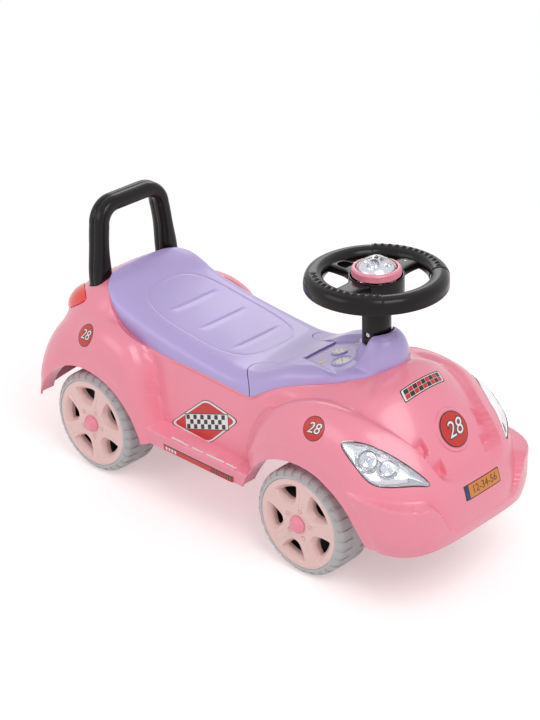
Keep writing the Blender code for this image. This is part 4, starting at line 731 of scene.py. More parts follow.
def lamp_sheet(kind, grow, sink, swell):
    rim = lamp_outline(kind, grow)
    middle = rim.mean(axis=0)
    loops = []
    for share in SHEET_SHARES:
        flat = middle + (rim - middle) * share
        depth = lamp_surface(kind, flat) - sink + swell * (1 - share ** 2.5)
        if share > 0.99:
            depth = depth - 0.0005
        loops.append(in_space(kind, flat, depth))
    return loops


def make_lamps():
    for kind, lens_node, lens_tint in (("headlight", "headlight_lens", "clear"), ("tail", "tail_lamp", "lamp")):
        proud = LAMPS[kind]["proud"]
        outer = lamp_sheet(kind, 0.0, -LAMPS[kind]["rim_proud"], proud)
        inner = lamp_sheet(kind, -0.0008, 0.0020, proud)
        for hand, side in (("r", -1), ("l", 1)):
            loops = [mirrored(loop, side) for loop in outer[::-1] + inner]
            lens = loft(f"{kind}_glass_{hand}", loops, lens_tint, merge=1e-6)
            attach(lens, "root")
            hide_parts(f"{lens_node}_{hand}")


def make_headlight_insides():
    """The metallised tray with two bulb bowls and faint flutes."""
    shares = np.concatenate([[1.0, 0.985], np.linspace(0.97, 0.03, 40), [0.0]])
    kind = "headlight"
    along = lamp_axes(kind)[0]
    rim = lamp_outline(kind, -0.0012)
    middle = rim.mean(axis=0)
    long_way = rim[np.argmax(np.linalg.norm(rim - middle, axis=1))] - middle
    long_way = long_way / np.linalg.norm(long_way)
    cups = ((middle - long_way * 0.019, 0.0125, 0.012), (middle + long_way * 0.006, 0.0105, 0.010))
    loops = []
    for share in shares:
        flat = middle + (rim - middle) * share
        depth = lamp_surface(kind, flat) - 0.0025
        bowl = 0.0115 * math.sqrt(max(0.0, 1 - share ** 2.2))
        angle = np.arctan2(flat[:, 1] - middle[1], flat[:, 0] - middle[0])
        fluted = smooth_step(0.15, 0.5, share) * (1 - smooth_step(0.90, 0.97, share))
        flutes = 0.0003 * np.abs(np.sin(angle * 10)) * fluted
        depth = depth - bowl + flutes
        for centre, radius, deep in cups:
            away = np.linalg.norm(flat - centre, axis=1) / radius
            well = np.clip(1 - away ** 2, 0, 1)
            wall = 0.0035 * np.exp(-((away - 1.0) / 0.10) ** 2)
            depth = depth - deep * 0.45 * well + wall
        loops.append(in_space(kind, flat, depth))
    for hand, side in (("r", -1), ("l", 1)):
        bowl = loft(f"headlight_bowl_{hand}", [mirrored(loop, side) for loop in loops[::-1]], "silver",
                    merge=1e-6, sharp=28)
        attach(bowl, "root")
        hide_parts(f"headlight_reflector_{hand}")
        for index, (centre, radius, deep) in enumerate(cups):
            flat = centre[None, :]
            seat = in_space(kind, flat, lamp_surface(kind, flat) - 0.0150)[0]
            bulb = turned(f"headlight_bulb_{index}_{hand}",
                          [(0, 0.0)] + [(radius * 0.30 * math.cos(a), 0.004 + radius * 0.42 * math.sin(a))
                                        for a in np.radians(np.linspace(-60, 88, 12))] + [(0, 0.004 + radius * 0.42)],
                          "clear", 32, axis=tuple(mirrored(along, side)))
            move(bulb, mirrored(seat, side))
            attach(bulb, "root")


# Handle: two half shells with a seam line between them

HANDLE_BASE = (0.0602, 0.2638, 0.2563)
HANDLE_TOP = (0.054, 0.3498)
HANDLE_LEAN = 0.076
HANDLE_CORNER = 0.026
HANDLE_FOOT_Z = 0.222
HANDLE_WIDTH = 0.021
HANDLE_BASE_WIDTH = 0.028
HANDLE_DEPTH = 0.027


def handle_path():
    corner = HANDLE_CORNER
    top_x, top_z = HANDLE_TOP
    base_x, _, base_z = HANDLE_BASE
    leg = [(-base_x, z) for z in np.linspace(HANDLE_FOOT_Z, base_z, 8)]
    middle = (-(base_x + top_x) / 2 - 0.0005, (base_z + top_z) / 2 - 0.006)
    start = Vector(leg[-1])
    end = Vector((-top_x, top_z - corner))
    bend = Vector(middle)
    control = bend * 2 - (start + end) / 2
    for share in np.linspace(0, 1, 16)[1:]:
        point = start * (1 - share) ** 2 + control * 2 * share * (1 - share) + end * share ** 2
        leg.append(tuple(point))
    leg += arc((-(top_x - corner), top_z - corner), corner, 180, 90, 22)[1:]
    leg += [(x, top_z) for x in np.linspace(-(top_x - corner), 0, 6)[1:]]
    other = [(-x, z) for x, z in leg[-2::-1]]
    return np.array(leg + other)


def handle_centre_y(z):
    return HANDLE_BASE[1] + (z - HANDLE_BASE[2]) * HANDLE_LEAN


def make_handle():
    path = handle_path()
    tangent = np.gradient(path, axis=0)
    tangent = tangent / np.linalg.norm(tangent, axis=1, keepdims=True)
    normal = np.stack([-tangent[:, 1], tangent[:, 0]], axis=1)
    for name, side in (("handle_front_skin", -1), ("handle_rear_skin", 1)):
        loops = []
        for (x, z), (nx, nz) in zip(path, normal):
            flare = float(smooth_step(HANDLE_BASE[2] + 0.045, HANDLE_BASE[2], np.array(z)))
            half_width = (HANDLE_WIDTH + (HANDLE_BASE_WIDTH - HANDLE_WIDTH) * flare) / 2
            loop = []
            for angle in np.radians(np.linspace(0, 180, 30)):
                across = half_width * np.sign(math.cos(angle)) * abs(math.cos(angle)) ** 0.75
                depth = HANDLE_DEPTH / 2 * math.sin(angle) ** 0.75
                # The edge at the seam is rolled in a little, which leaves a fine dark line
                roll = 0.0007 * math.exp(-(math.sin(angle) / 0.05) ** 2)
                across = across - math.copysign(roll, across) if abs(across) > roll else across
                y = handle_centre_y(z) + side * (depth + 0.0004)
                loop.append((x + nx * across, y, z + nz * across))
            loops.append(np.array(loop))
        half = loft(name, loops, "black", caps=True, merge=1e-7)
        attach(half, "root")
        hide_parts("handle_front_shell" if side < 0 else "handle_rear_shell")


def handle_socket(side):
    loops = []
    angles = np.radians(np.arange(0, 360, 6))
    for z in (HANDLE_BASE[2] - 0.040, HANDLE_BASE[2] + 0.030):
        wide = HANDLE_BASE_WIDTH / 2 + 0.0007
        deep = HANDLE_DEPTH / 2 + 0.0007
        across = wide * np.sign(np.cos(angles)) * np.abs(np.cos(angles)) ** 0.75
        depth = deep * np.sign(np.sin(angles)) * np.abs(np.sin(angles)) ** 0.75
        loops.append(np.stack([side * HANDLE_BASE[0] + across, handle_centre_y(z) + depth, 0 * angles + z], 1))
    return loft(f"socket_{side}", loops, "pink", caps=True)


# Seat and dashboard

TOP_PROFILE = (
    (-0.200, 0.2690), (-0.176, 0.2672), (-0.150, 0.2635), (-0.115, 0.2545), (-0.069, 0.2415),
    (-0.030, 0.2260), (0.010, 0.2205), (0.040, 0.2225), (0.096, 0.2290), (0.150, 0.2370),
    (0.196, 0.2480), (0.225, 0.2600), (0.2515, 0.2690))
SPLIT_LINE = ((0.0, -0.0688), (0.0284, -0.0688), (0.032, -0.062), (0.0466, -0.014), (0.055, -0.007),
              (0.066, -0.008), (0.078, -0.018), (0.0905, -0.034), (0.12, -0.060))
SHOULDER = 0.026
TOP_WALL = 0.003
SEAM_GAP = 0.0006
SEAM_LIFT = 0.0012
SPLIT_GAP = 0.0013
PANEL_CENTRE_Y = 0.105
PANEL_HALF_LENGTH = 0.098
PANEL_HALF_WIDTH = 0.060
PANEL_LINE = 0.0009
GROOVES_Y = (0.1515, 0.0985, 0.0390)
GROOVE_HALF_WIDTH = 0.047
GROOVE_DEPTH = 0.0010
COWL_TOP = 0.3025


def seat_relief(x, y):
    """Depth of the fine rounded line and the three long, shallow creases in the seat."""
    ax = np.abs(x)
    across = (ax / PANEL_HALF_WIDTH) ** 3.4
    along = (np.abs(y - PANEL_CENTRE_Y) / PANEL_HALF_LENGTH) ** 3.4
    oval = (across + along) ** (1 / 3.4)
    line = 0.0006 * np.exp(-((oval - 1) * PANEL_HALF_WIDTH / PANEL_LINE) ** 2)
    inner = 0.0004 * (1 - smooth_step(0.985, 1.01, oval))
    creases = 0.0
    for middle in GROOVES_Y:
        away = y - middle - 0.002 * (ax / GROOVE_HALF_WIDTH) ** 2
        soft = np.where(away > 0, 0.0012, 0.0060)
        creases = creases + np.exp(-(away / soft) ** 2)
    reach = 1 - smooth_step(0.55, 1.0, ax / GROOVE_HALF_WIDTH)
    return line + inner + GROOVE_DEPTH * reach * creases


def dash_form(x, y, top):
    """The dashboard's raised sides, its sunk dial panel and the cowl that wraps round the column."""
    ax = np.abs(x)
    side = ax - (0.0300 + (-0.067 - y) * 0.33)
    lift = 0.0060 * smooth_step(0.0, 0.012, side) * smooth_step(-0.030, -0.085, y)
    sink = 0.0026 * (1 - smooth_step(-0.0012, 0.0006, side)) * smooth_step(-0.150, -0.128, y)
    top = top + lift - sink
    cowl = COWL_TOP - 0.0095 * (ax / 0.026) ** 4
    front = smooth_step(-0.149, -0.168, y)
    return top + np.maximum(cowl - top, 0.0) * front


def top_height(x, y, kind):
    crown = curve_through(((-0.20, 0.014), (-0.15, 0.014), (-0.07, 0.004), (0.20, 0.004)), y)
    top = curve_through(TOP_PROFILE, y) - crown * (x / 0.09) ** 2
    return dash_form(x, y, top) if kind == "dash" else top


def top_rows(seam, count, kind, lower=0.0):
    centre_y = curve_through(((-0.20, -0.185), (-0.10, -0.115), (0.0, -0.020), (0.15, 0.140),
                              (0.26, 0.225)), seam[:, 1])
    centre_y[0] = -0.187
    shares = np.concatenate([np.linspace(0, 1, 18) ** 2 * 0.30, np.linspace(0.30, 1.0, count)[1:]])
    rows = []
    for share in shares:
        x = seam[:, 0] * (1 - share)
        y = seam[:, 1] + (centre_y - seam[:, 1]) * share
        depth = np.hypot(seam[:, 0] - x, seam[:, 1] - y)
        rise = (1 - (1 - np.clip(depth / SHOULDER, 0, 1)) ** 2.4) ** (1 / 2.4)
        top = top_height(x, y, kind) - lower
        if kind == "seat" and not lower:
            top = top - seat_relief(x, y)
        z = seam[:, 2] + (top - seam[:, 2]) * rise
        rows.append(np.stack([x, y, z], axis=-1))
    return rows


def evenly(line, step):
    """The same line of points, at even steps."""
    run = np.concatenate([[0], np.cumsum(np.linalg.norm(np.diff(line, axis=0), axis=1))])
    at = np.linspace(0, run[-1], int(run[-1] / step) + 1)
    return np.stack([np.interp(at, run, line[:, column]) for column in range(3)], axis=-1)


def make_top(name, kind):
    seam = ledge_loop(shell_stations()[0], SEAM_GAP) + np.array([0.0, 0.0, SEAM_LIFT])
    outer = top_rows(evenly(seam, 0.0012), 90, kind)
    under = ledge_loop(seam, TOP_WALL)
    inner = top_rows(evenly(under, 0.0012)[:len(outer[0])], 30, kind, lower=TOP_WALL)
    inner = [np.stack([np.interp(np.linspace(0, 1, len(outer[0])), np.linspace(0, 1, len(row)), row[:, column])
                       for column in range(3)], axis=-1) for row in inner]
    return loft(name, [full_loop(loop) for loop in outer[::-1] + inner], "lilac", merge=1e-6)


def split_cutter(name, offset):
    right = [(x, y + offset) for x, y in split_curve()]
    left = [(-x, y) for x, y in right[:0:-1]]
    outline = left + right + [(0.12, -0.26), (-0.12, -0.26)]
    loops = [np.array([(x, y, z) for x, y in outline]) for z in (0.15, 0.34)]
    return loft(name, loops, "lilac", caps=True)


def split_curve():
    """The split line between dashboard and seat, with its corners softened."""
    line = rounded([tuple(point) for point in SPLIT_LINE], 0.009, 7)
    return [(float(x), float(y)) for x, y in line]


def make_seat_and_dashboard():
    seat = cut(make_top("seat_skin", "seat"), [split_cutter("seat_front", SPLIT_GAP)])
    paint(seat, "lilac", sharp=38)
    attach(seat, "seat_lid")
    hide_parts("seat")
    dash = cut(make_top("dashboard_skin", "dash"), [split_cutter("dash_rear", 0.0)], "INTERSECT")
    axis = tuple(COLUMN_AXIS)
    low = 0.252
    foot = Vector((0.0, column_y(low), low))
    profile = rounded([(0.0, 0.0), (0.0335, 0.000), (0.0275, 0.0055), (0.0205, 0.0315), (0.0198, 0.0320),
                       (0.0, 0.0320)], 0.004, 6)
    boss = move(turned("boss", profile, "lilac", 72, axis), foot)
    cut(dash, [boss], "UNION")
    bore = move(turned("bush_bore", [(0, -0.02), (0.0078, -0.02), (0.0078, 0.05), (0, 0.05)], "lilac", 48, axis), foot)
    well = turned("column_well", [(0, 0.0323), (0.0208, 0.0323), (0.0222, 0.060), (0, 0.060)], "lilac", 96, axis)
    cut(dash, [bore, move(well, foot)])
    paint(dash, "lilac", sharp=38)
    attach(dash, "root")
    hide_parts("dashboard")


def column_y(z):
    return STEERING_CENTRE.y - (STEERING_CENTRE.z - z) * math.tan(COLUMN_TILT)


def dash_height(x, y):
    return float(top_height(np.array([x]), np.array([y]), "dash")[0])


def dash_turn(x, y):
    """The turn that lays a piece on the dashboard's panel."""
    reach = 0.002
    slope_x = (dash_height(x + reach, y) - dash_height(x - reach, y)) / (2 * reach)
    slope_y = (dash_height(x, y + reach) - dash_height(x, y - reach)) / (2 * reach)
    return Vector((0, 0, 1)).rotation_difference(Vector((-slope_x, -slope_y, 1.0))).to_matrix().to_4x4()


def on_dash(item, x, y, height=0.0):
    item.data.transform(dash_turn(x, y))
    move(item, (x, y, dash_height(x, y) + height))
    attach(item, "root")
    return item


def flat_bar(name, half_x, half_y, height, tint, place=(0, 0), turn=0.0):
    outline = rounded_loop([(-half_x, -half_y), (half_x, -half_y), (half_x, half_y), (-half_x, half_y)],
                           min(half_x, half_y) * 0.4, 4)
    loops = [np.array([(x, y, z) for x, y in outline]) for z in (-0.0006, height)]
    bar = loft(name, loops, tint, caps=True)
    bar.data.transform(Matrix.Rotation(turn, 4, "Z"))
    return move(bar, (place[0], place[1], 0))


def make_dials():
    """A middle dial on a low puck, two bezelled dials beside the column's foot and two yellow marks."""
    puck = rounded([(0, -0.0020), (0.0104, -0.0020), (0.0104, 0.0018), (0, 0.0018)], 0.0006, 4)
    on_dash(turned("dial_puck", puck, "lilac", 64), 0.0, -0.0990)
    on_dash(turned("dial_face_middle", [(0, 0.0010), (0.0094, 0.0010), (0.0094, 0.0019), (0, 0.0019)],
                   "dial_white", 64), 0.0, -0.0990)
    for index, angle in enumerate(range(-60, 241, 50)):
        turn = math.radians(angle)
        tick = flat_bar(f"dial_tick_{index}", 0.0012, 0.0003, 0.0021, "sticker_black",
                        (0.0076 * math.cos(turn), 0.0076 * math.sin(turn)), turn)
        on_dash(tick, 0.0, -0.0990)
    on_dash(flat_bar("dial_needle", 0.0024, 0.0004, 0.0022, "sticker_red", (0.0010, 0.0012), 0.8), 0.0, -0.0990)
    bezel = [(0.0118, -0.0012), (0.0146, -0.0012), (0.0146, 0.0010), (0.0136, 0.0018), (0.0126, 0.0014),
             (0.0118, 0.0002)]
    for side in (-1, 1):
        x, y = side * 0.0233, -0.1240
        hand = side_name(side)
        on_dash(turned(f"dial_bezel_{hand}", rounded_loop(bezel, 0.0005, 3), "lilac", 72, ring=True), x, y)
        on_dash(turned(f"dial_face_{hand}", [(0, -0.0010), (0.0120, -0.0010), (0.0120, 0.0004), (0, 0.0004)],
                       "dial_white", 64), x, y)
        for index, angle in enumerate(range(-45, 226, 30)):
            turn = math.radians(angle)
            tick = flat_bar(f"dial_{hand}_tick_{index}", 0.0014, 0.0003, 0.0006, "sticker_black",
                            (0.0098 * math.cos(turn), 0.0098 * math.sin(turn)), turn)
            on_dash(tick, x, y)
        on_dash(flat_bar(f"dial_{hand}_needle", 0.0036, 0.0004, 0.0007, "sticker_black", (0.0014, 0.0014), 0.8), x, y)
        on_dash(flat_bar(f"dash_mark_{hand}", 0.0042, 0.0024, 0.0003, "mark_yellow"), side * 0.0325, -0.0995)


# Stickers, laid on the body's surface as thin closed slabs

STICKER_STEP = 0.002
STICKER_HEIGHT = 0.00014
LAYER_HEIGHT = 0.00007
STICKER_SINK = 0.0002
LAY_START = 0.06
LAY_REACH = 0.12
LAY_STEPS = 60


def flat_shape(outline):
    """A flat mesh that fills a closed outline of (u, v) points."""
    work = bmesh.new()
    corners = [work.verts.new((u, v, 0)) for u, v in outline]
    for index, corner in enumerate(corners):
        work.edges.new((corner, corners[(index + 1) % len(corners)]))
    bmesh.ops.triangle_fill(work, use_beauty=True, use_dissolve=False, edges=work.edges[:])
    return work


def flat_words(words, size, shear=0.0, fatten=0.0, centre=(0.0, 0.0)):
    """Digits as a flat mesh; fatten grows them on every side, for an outline beneath."""
    curve = bpy.data.curves.new("words", "FONT")
    curve.body = words
    curve.size = size
    curve.shear = shear
    curve.offset = fatten
    curve.align_x = "CENTER"
    curve.align_y = "CENTER"
    item = bpy.data.objects.new("words", curve)
    bpy.context.scene.collection.objects.link(item)
    apply = bpy.data.meshes.new_from_object(item.evaluated_get(bpy.context.evaluated_depsgraph_get()))
    work = bmesh.new()
    work.from_mesh(apply)
    bmesh.ops.translate(work, verts=work.verts, vec=(centre[0], centre[1], 0))
    bpy.data.objects.remove(item)
    return work


def lay(name, work, place, tint, layer=0):
    """Cuts a flat mesh up finely and lays it on the body, looked at along place's outward axis."""
    origin, across, upward, outward = (np.array(part, float) for part in place)
    bmesh.ops.remove_doubles(work, verts=work.verts, dist=1e-7)
    for axis in (0, 1):
        spots = [vert.co[axis] for vert in work.verts]
        for line in np.arange(min(spots) + STICKER_STEP, max(spots), STICKER_STEP):
            point = [0.0, 0.0, 0.0]
            point[axis] = line
            normal = [0.0, 0.0, 0.0]
            normal[axis] = 1.0
            bmesh.ops.bisect_plane(work, geom=work.verts[:] + work.edges[:] + work.faces[:], dist=1e-7,
                                   plane_co=point, plane_no=normal)
    work.verts.index_update()
    flat = np.array([tuple(vert.co) for vert in work.verts])
    start = origin + flat[:, :1] * across + flat[:, 1:2] * upward + outward * LAY_START
    aim = np.tile(-outward, (len(flat), 1))
    reach = march(start, aim, 0.0, LAY_REACH, LAY_STEPS, detail=False)
    point = start + aim * reach[:, None]
    normal = surface_normals(point)
    top = point + normal * (STICKER_HEIGHT + LAYER_HEIGHT * layer)
    bottom = point - normal * STICKER_SINK
    count = len(flat)
    faces = []
    runs = {}
    for face in work.faces:
        ring = [vert.index for vert in face.verts]
        if face.normal.z < 0:
            ring = ring[::-1]
        faces += [tuple(ring), tuple(index + count for index in ring[::-1])]
        for here, after in zip(ring, ring[1:] + ring[:1]):
            runs.setdefault(frozenset((here, after)), []).append((here, after))
    for (here, after), *more in runs.values():
        if not more:
            faces.append((after, here, here + count, after + count))
    work.free()
    item = new_object(name, np.concatenate([top, bottom]), faces, tint, sharp=60)
    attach(item, "root")
    return item


def disc(radius, segments=72):
    turns = np.arange(segments) * 2 * math.pi / segments
    return [(radius * math.cos(turn), radius * math.sin(turn)) for turn in turns]


def box(low_u, low_v, high_u, high_v, radius=0.0008, lean=0.0):
    corners = [(low_u, low_v), (high_u, low_v), (high_u + lean, high_v), (low_u + lean, high_v)]
    return rounded_loop(corners, radius, 4)


NUMBER = "28"
NUMBER_SHEAR = 0.25


def sticker(name, outline, place, tint, layer=0):
    lay(name, flat_shape(outline), place, tint, layer)


def number_disc(name, tail, place, radii, segments, digits, layer):
    """A red disc in a black edge, with slanted white digits that have a black outline."""
    size, outline = digits
    sticker(f"{name}_edge{tail}", disc(radii[0], segments), place, "sticker_black", layer)
    sticker(f"{name}{tail}", disc(radii[1], segments), place, "sticker_red", layer + 1)
    lay(f"{name}_shade{tail}", flat_words(NUMBER, size, NUMBER_SHEAR, outline), place, "sticker_black", layer + 2)
    lay(f"{name}_number{tail}", flat_words(NUMBER, size, NUMBER_SHEAR), place, "sticker_white", layer + 3)


DIAMOND = ((-0.1030, 0.1121), (-0.0410, 0.1690), (0.0182, 0.1587), (-0.0318, 0.1079))


def make_side_stickers(side):
    hand = side_name(side)
    # The number roundels on both fenders
    for spot, y, z in (("front", -0.1627, 0.2138), ("rear", 0.2310, 0.2005)):
        tilted = np.array([side * 0.75, 0.0, 0.66]) if spot == "rear" else np.array([side * 0.80, -0.20, 0.57])
        outward = tilted / np.linalg.norm(tilted)
        across = np.cross((0, 0, 1), outward)
        across = across / np.linalg.norm(across)
        place = ((side * 0.117, y, z), across, np.cross(outward, across), outward)
        number_disc("roundel", f"_{spot}_{hand}", place, (0.0152, 0.0143), 72, (0.0185, 0.0008), 0)
    # The leaning diamond with a chequered band, in (u to the right, v upwards) for the side looked at
    place = ((side * 0.10, 0, 0), (0, side, 0), (0, 0, 1), (side, 0, 0))
    corners = [(u * -side, v) for u, v in DIAMOND]
    middle = np.mean(corners, axis=0)

    def shrunk(share):
        line = [tuple(middle + (np.array(corner) - middle) * share) for corner in corners]
        return rounded_loop(line, 0.011 * share, 8)

    sticker(f"diamond_edge_{hand}", shrunk(1.0), place, "sticker_black", 0)
    sticker(f"diamond_white_{hand}", shrunk(0.965), place, "sticker_white", 1)
    sticker(f"diamond_{hand}", shrunk(0.88), place, "sticker_red", 2)
    along = np.array([0.945, 0.327]) if side < 0 else np.array([0.945, -0.327])
    upright = np.array([-along[1], along[0]])

    def on_band(points):
        return [tuple(middle + along * u + upright * v) for u, v in points]

    sticker(f"diamond_band_edge_{hand}", on_band(box(-0.0395, -0.0108, 0.0395, 0.0108, 0.002, 0.004)), place,
        "sticker_black", 3)
    sticker(f"diamond_band_{hand}", on_band(box(-0.0385, -0.0098, 0.0385, 0.0098, 0.002, 0.004)), place,
        "sticker_white", 4)
    for column in range(11):
        for row in range(3):
            if (column + row) % 2 == 0:
                low_u = -0.0352 + column * 0.0064 + (row - 1) * 0.0012
                low_v = -0.0094 + row * 0.0063
                cell = on_band(box(low_u, low_v, low_u + 0.0061, low_v + 0.0059, 0.0004, 0.0012))
                sticker(f"diamond_cell_{column}_{row}_{hand}", cell, place, "sticker_black", 5)
    # The running board's red strip with black line, ticks and white blocks, and its top's white dashes

    def level(y0, v0, y1, v1, radius=0.0004):
        ends = sorted((y0 * side, y1 * side))
        return box(ends[0], v0, ends[1], v1, radius)

    sticker(f"strip_{hand}", level(-0.031, 0.0868, 0.091, 0.0952), place, "sticker_red", 0)
    sticker(f"strip_line_{hand}", level(-0.031, 0.0940, 0.091, 0.0956), place, "sticker_black", 1)
    for index in range(9):
        y = -0.029 + index * 0.0042
        sticker(f"strip_tick_{index}_{hand}", level(y, 0.0868, y + 0.0016, 0.0940, 0.0002), place,
            "sticker_black", 1)
    for index in range(4):
        y = 0.0875 - index * 0.0052
        sticker(f"strip_block_{index}_{hand}", level(y - 0.0032, 0.0885, y, 0.0930, 0.0003), place,
            "sticker_white", 1)
    above = ((side * 0.1165, 0.0, 0.105), (0, side, 0), (-side, 0, 0), (0, 0, 1))
    for index, (y0, y1) in enumerate(((0.0491, 0.0793), (0.0229, 0.0423), (-0.0135, 0.0177), (-0.0349, -0.0162))):
        sticker(f"dash_line_{index}_{hand}", level(y0, -0.0015, y1, 0.0015, 0.0010), above, "sticker_white", 0)


def make_front_stickers():
    """The chequered strip and the raised ring on the bonnet, and the number plate."""
    outward = np.array([0.0, -0.50, 0.866])
    place = ((0.0, -0.2300, 0.2500), (1, 0, 0), (0, 0.866, 0.50), outward)
    sticker("bonnet_strip_edge", box(-0.0385, -0.0082, 0.0345, 0.0082, 0.0025, 0.004), place,
        "sticker_black", 0)
    sticker("bonnet_strip", box(-0.0372, -0.0070, 0.0332, 0.0070, 0.0020, 0.004), place, "sticker_white", 1)
    for column in range(9):
        for row in range(2):
            low_u = -0.0345 + column * 0.0073 + row * 0.0020
            low_v = -0.0060 + row * 0.0062
            tint = "sticker_black" if (column + row) % 2 else "sticker_red"
            cell = box(low_u, low_v, low_u + 0.0068, low_v + 0.0058, 0.0004, 0.0018)
            sticker(f"bonnet_cell_{column}_{row}", cell, place, tint, 2)
    outward = np.array([0.0, -0.82, 0.572])
    outward = outward / np.linalg.norm(outward)
    place = ((0.0, -0.2790, 0.2095), (1, 0, 0), tuple(np.cross(outward, (1, 0, 0))), outward)
    raise_pad("bonnet_pad", place, 0.0255, 0.0018, "pink")
    number_disc("badge", "", place, (0.0220, 0.0208), 96, (0.0270, 0.0012), PAD_LAYER)
    plate = ((0.0, -0.3200, 0.1518), (1, 0, 0), (0, 0.148, 0.989), (0, -0.989, 0.148))
    sticker("plate_edge", box(-0.0326, -0.0092, 0.0326, 0.0092, 0.0016), plate, "sticker_black", 0)
    sticker("plate_face", box(-0.0248, -0.0080, 0.0314, 0.0080, 0.0010), plate, "plate_orange", 1)
    sticker("plate_band", box(-0.0314, -0.0080, -0.0254, 0.0080, 0.0010), plate, "plate_blue", 1)
    lay("plate_number", flat_words("12-34-56", 0.0128, centre=(0.0035, 0.0)), plate, "sticker_black", 2)


PAD_LAYER = 25


def raise_pad(name, place, radius, height, tint):
    """A round pad that stands a little proud of the bonnet, with a soft edge."""
    origin, across, upward, outward = (np.array(part, float) for part in place)
    turns = np.arange(96) * math.pi / 48
    loops = []
    for distance, rise in ((radius + 0.0022, -0.0006), (radius + 0.0018, 0.0006), (radius + 0.0008, 0.0016),
                           (radius - 0.0004, height), (radius * 0.93, height - 0.0002),
                           (radius * 0.90, height - 0.0008),
                           (radius * 0.6, height - 0.0008), (radius * 0.3, height - 0.0008), (0.0, height - 0.0008)):
        u = distance * np.cos(turns)
        v = distance * np.sin(turns)
        start = origin + u[:, None] * across + v[:, None] * upward + outward * LAY_START
        aim = np.tile(-outward, (len(u), 1))
        point = start + aim * march(start, aim, 0.0, LAY_REACH, LAY_STEPS, detail=False)[:, None]
        loops.append(point + surface_normals(point) * rise)
    under = [loops[0] - outward * 0.0012]
    pad = loft(name, under + loops, tint, merge=1e-6)
    seal_holes(pad)
    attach(pad, "root")


def make_stickers():
    for side in (-1, 1):
        make_side_stickers(side)
    make_front_stickers()


# Steering wheel, column and light unit

STEERING_RADIUS = 0.0865
RIM_WIDTH = 0.024
RIM_TOP = 0.0182
RIM_LOW = -0.0022
GRIP_HALF_ANGLE = 45
BEADS = 13
HUB_RADIUS = 0.0335
HUB_BOTTOM = -0.0190
HUB_TOP = 0.0125
HUB_WALL = 0.0025
RING_RADIUS = 0.030
RING_HEIGHT = 0.010
DOME_RADIUS = 0.0245
COLUMN_RADIUS = 0.01775
COLUMN_LOW_Z = 0.2843
SCREW_HOLE_Z = 0.297


def rounded_loop(points, radius, steps=5):
    """A closed outline with every corner rounded off."""
    line = rounded(list(points) + list(points[:2]), radius, steps)
    return line[1:-1]


def resample(points, count):
    """Evenly spaced points round a closed outline."""
    ring = np.array(list(points) + [points[0]])
    run = np.concatenate([[0], np.cumsum(np.linalg.norm(np.diff(ring, axis=0), axis=1))])
    at = np.linspace(0, run[-1], count, endpoint=False)
    return np.stack([np.interp(at, run, ring[:, 0]), np.interp(at, run, ring[:, 1])], axis=1)


def swept_ring(name, section, angles, bump, tint, sharp=35.0):
    """A closed (radius, height) section carried round an axis, moved out along its normal by bump."""
    after = np.roll(section, -1, axis=0) - np.roll(section, 1, axis=0)
    normal = np.stack([after[:, 1], -after[:, 0]], axis=1)
    normal = normal / np.linalg.norm(normal, axis=1, keepdims=True)
    if np.sum(normal * (section - section.mean(axis=0))) < 0:
        normal = -normal
    loops = []
    for angle in angles:
        moved = section + normal * bump(angle, normal, section)[:, None]
        radius = moved[:, 0]
        loops.append(np.stack([radius * math.cos(angle), radius * math.sin(angle), moved[:, 1]], axis=1))
    return loft(name, loops, tint, ring=True, sharp=sharp)


def grip_share(angle):
    """1 inside the two grips, which lie round -X and +X, and 0 outside them."""
    away = abs((math.degrees(angle) + 90) % 180 - 90)
    return float(smooth_step(GRIP_HALF_ANGLE + 0.5, GRIP_HALF_ANGLE - 0.5, away)), away


def rim_bump(angle, _normal, section):
    share, away = grip_share(angle)
    # Ring-shaped beads follow the grip's crest, and a fine step marks where the grip starts
    pitch = GRIP_HALF_ANGLE * 2 / BEADS
    phase = (away / pitch + 0.5) % 1.0 - 0.5
    reach = np.hypot(phase * pitch * math.radians(1) * 0.0745, section[:, 0] - 0.0745)
    beads = 0.0011 * np.exp(-((reach - 0.0019) / 0.0008) ** 2) * (section[:, 1] > 0.010)
    edge = 1 - smooth_step(GRIP_HALF_ANGLE - 3.0, GRIP_HALF_ANGLE - 2.0, away)
    return 0.0007 * share - 0.0006 * math.exp(-((away - GRIP_HALF_ANGLE) / 0.5) ** 2) + beads * edge * share


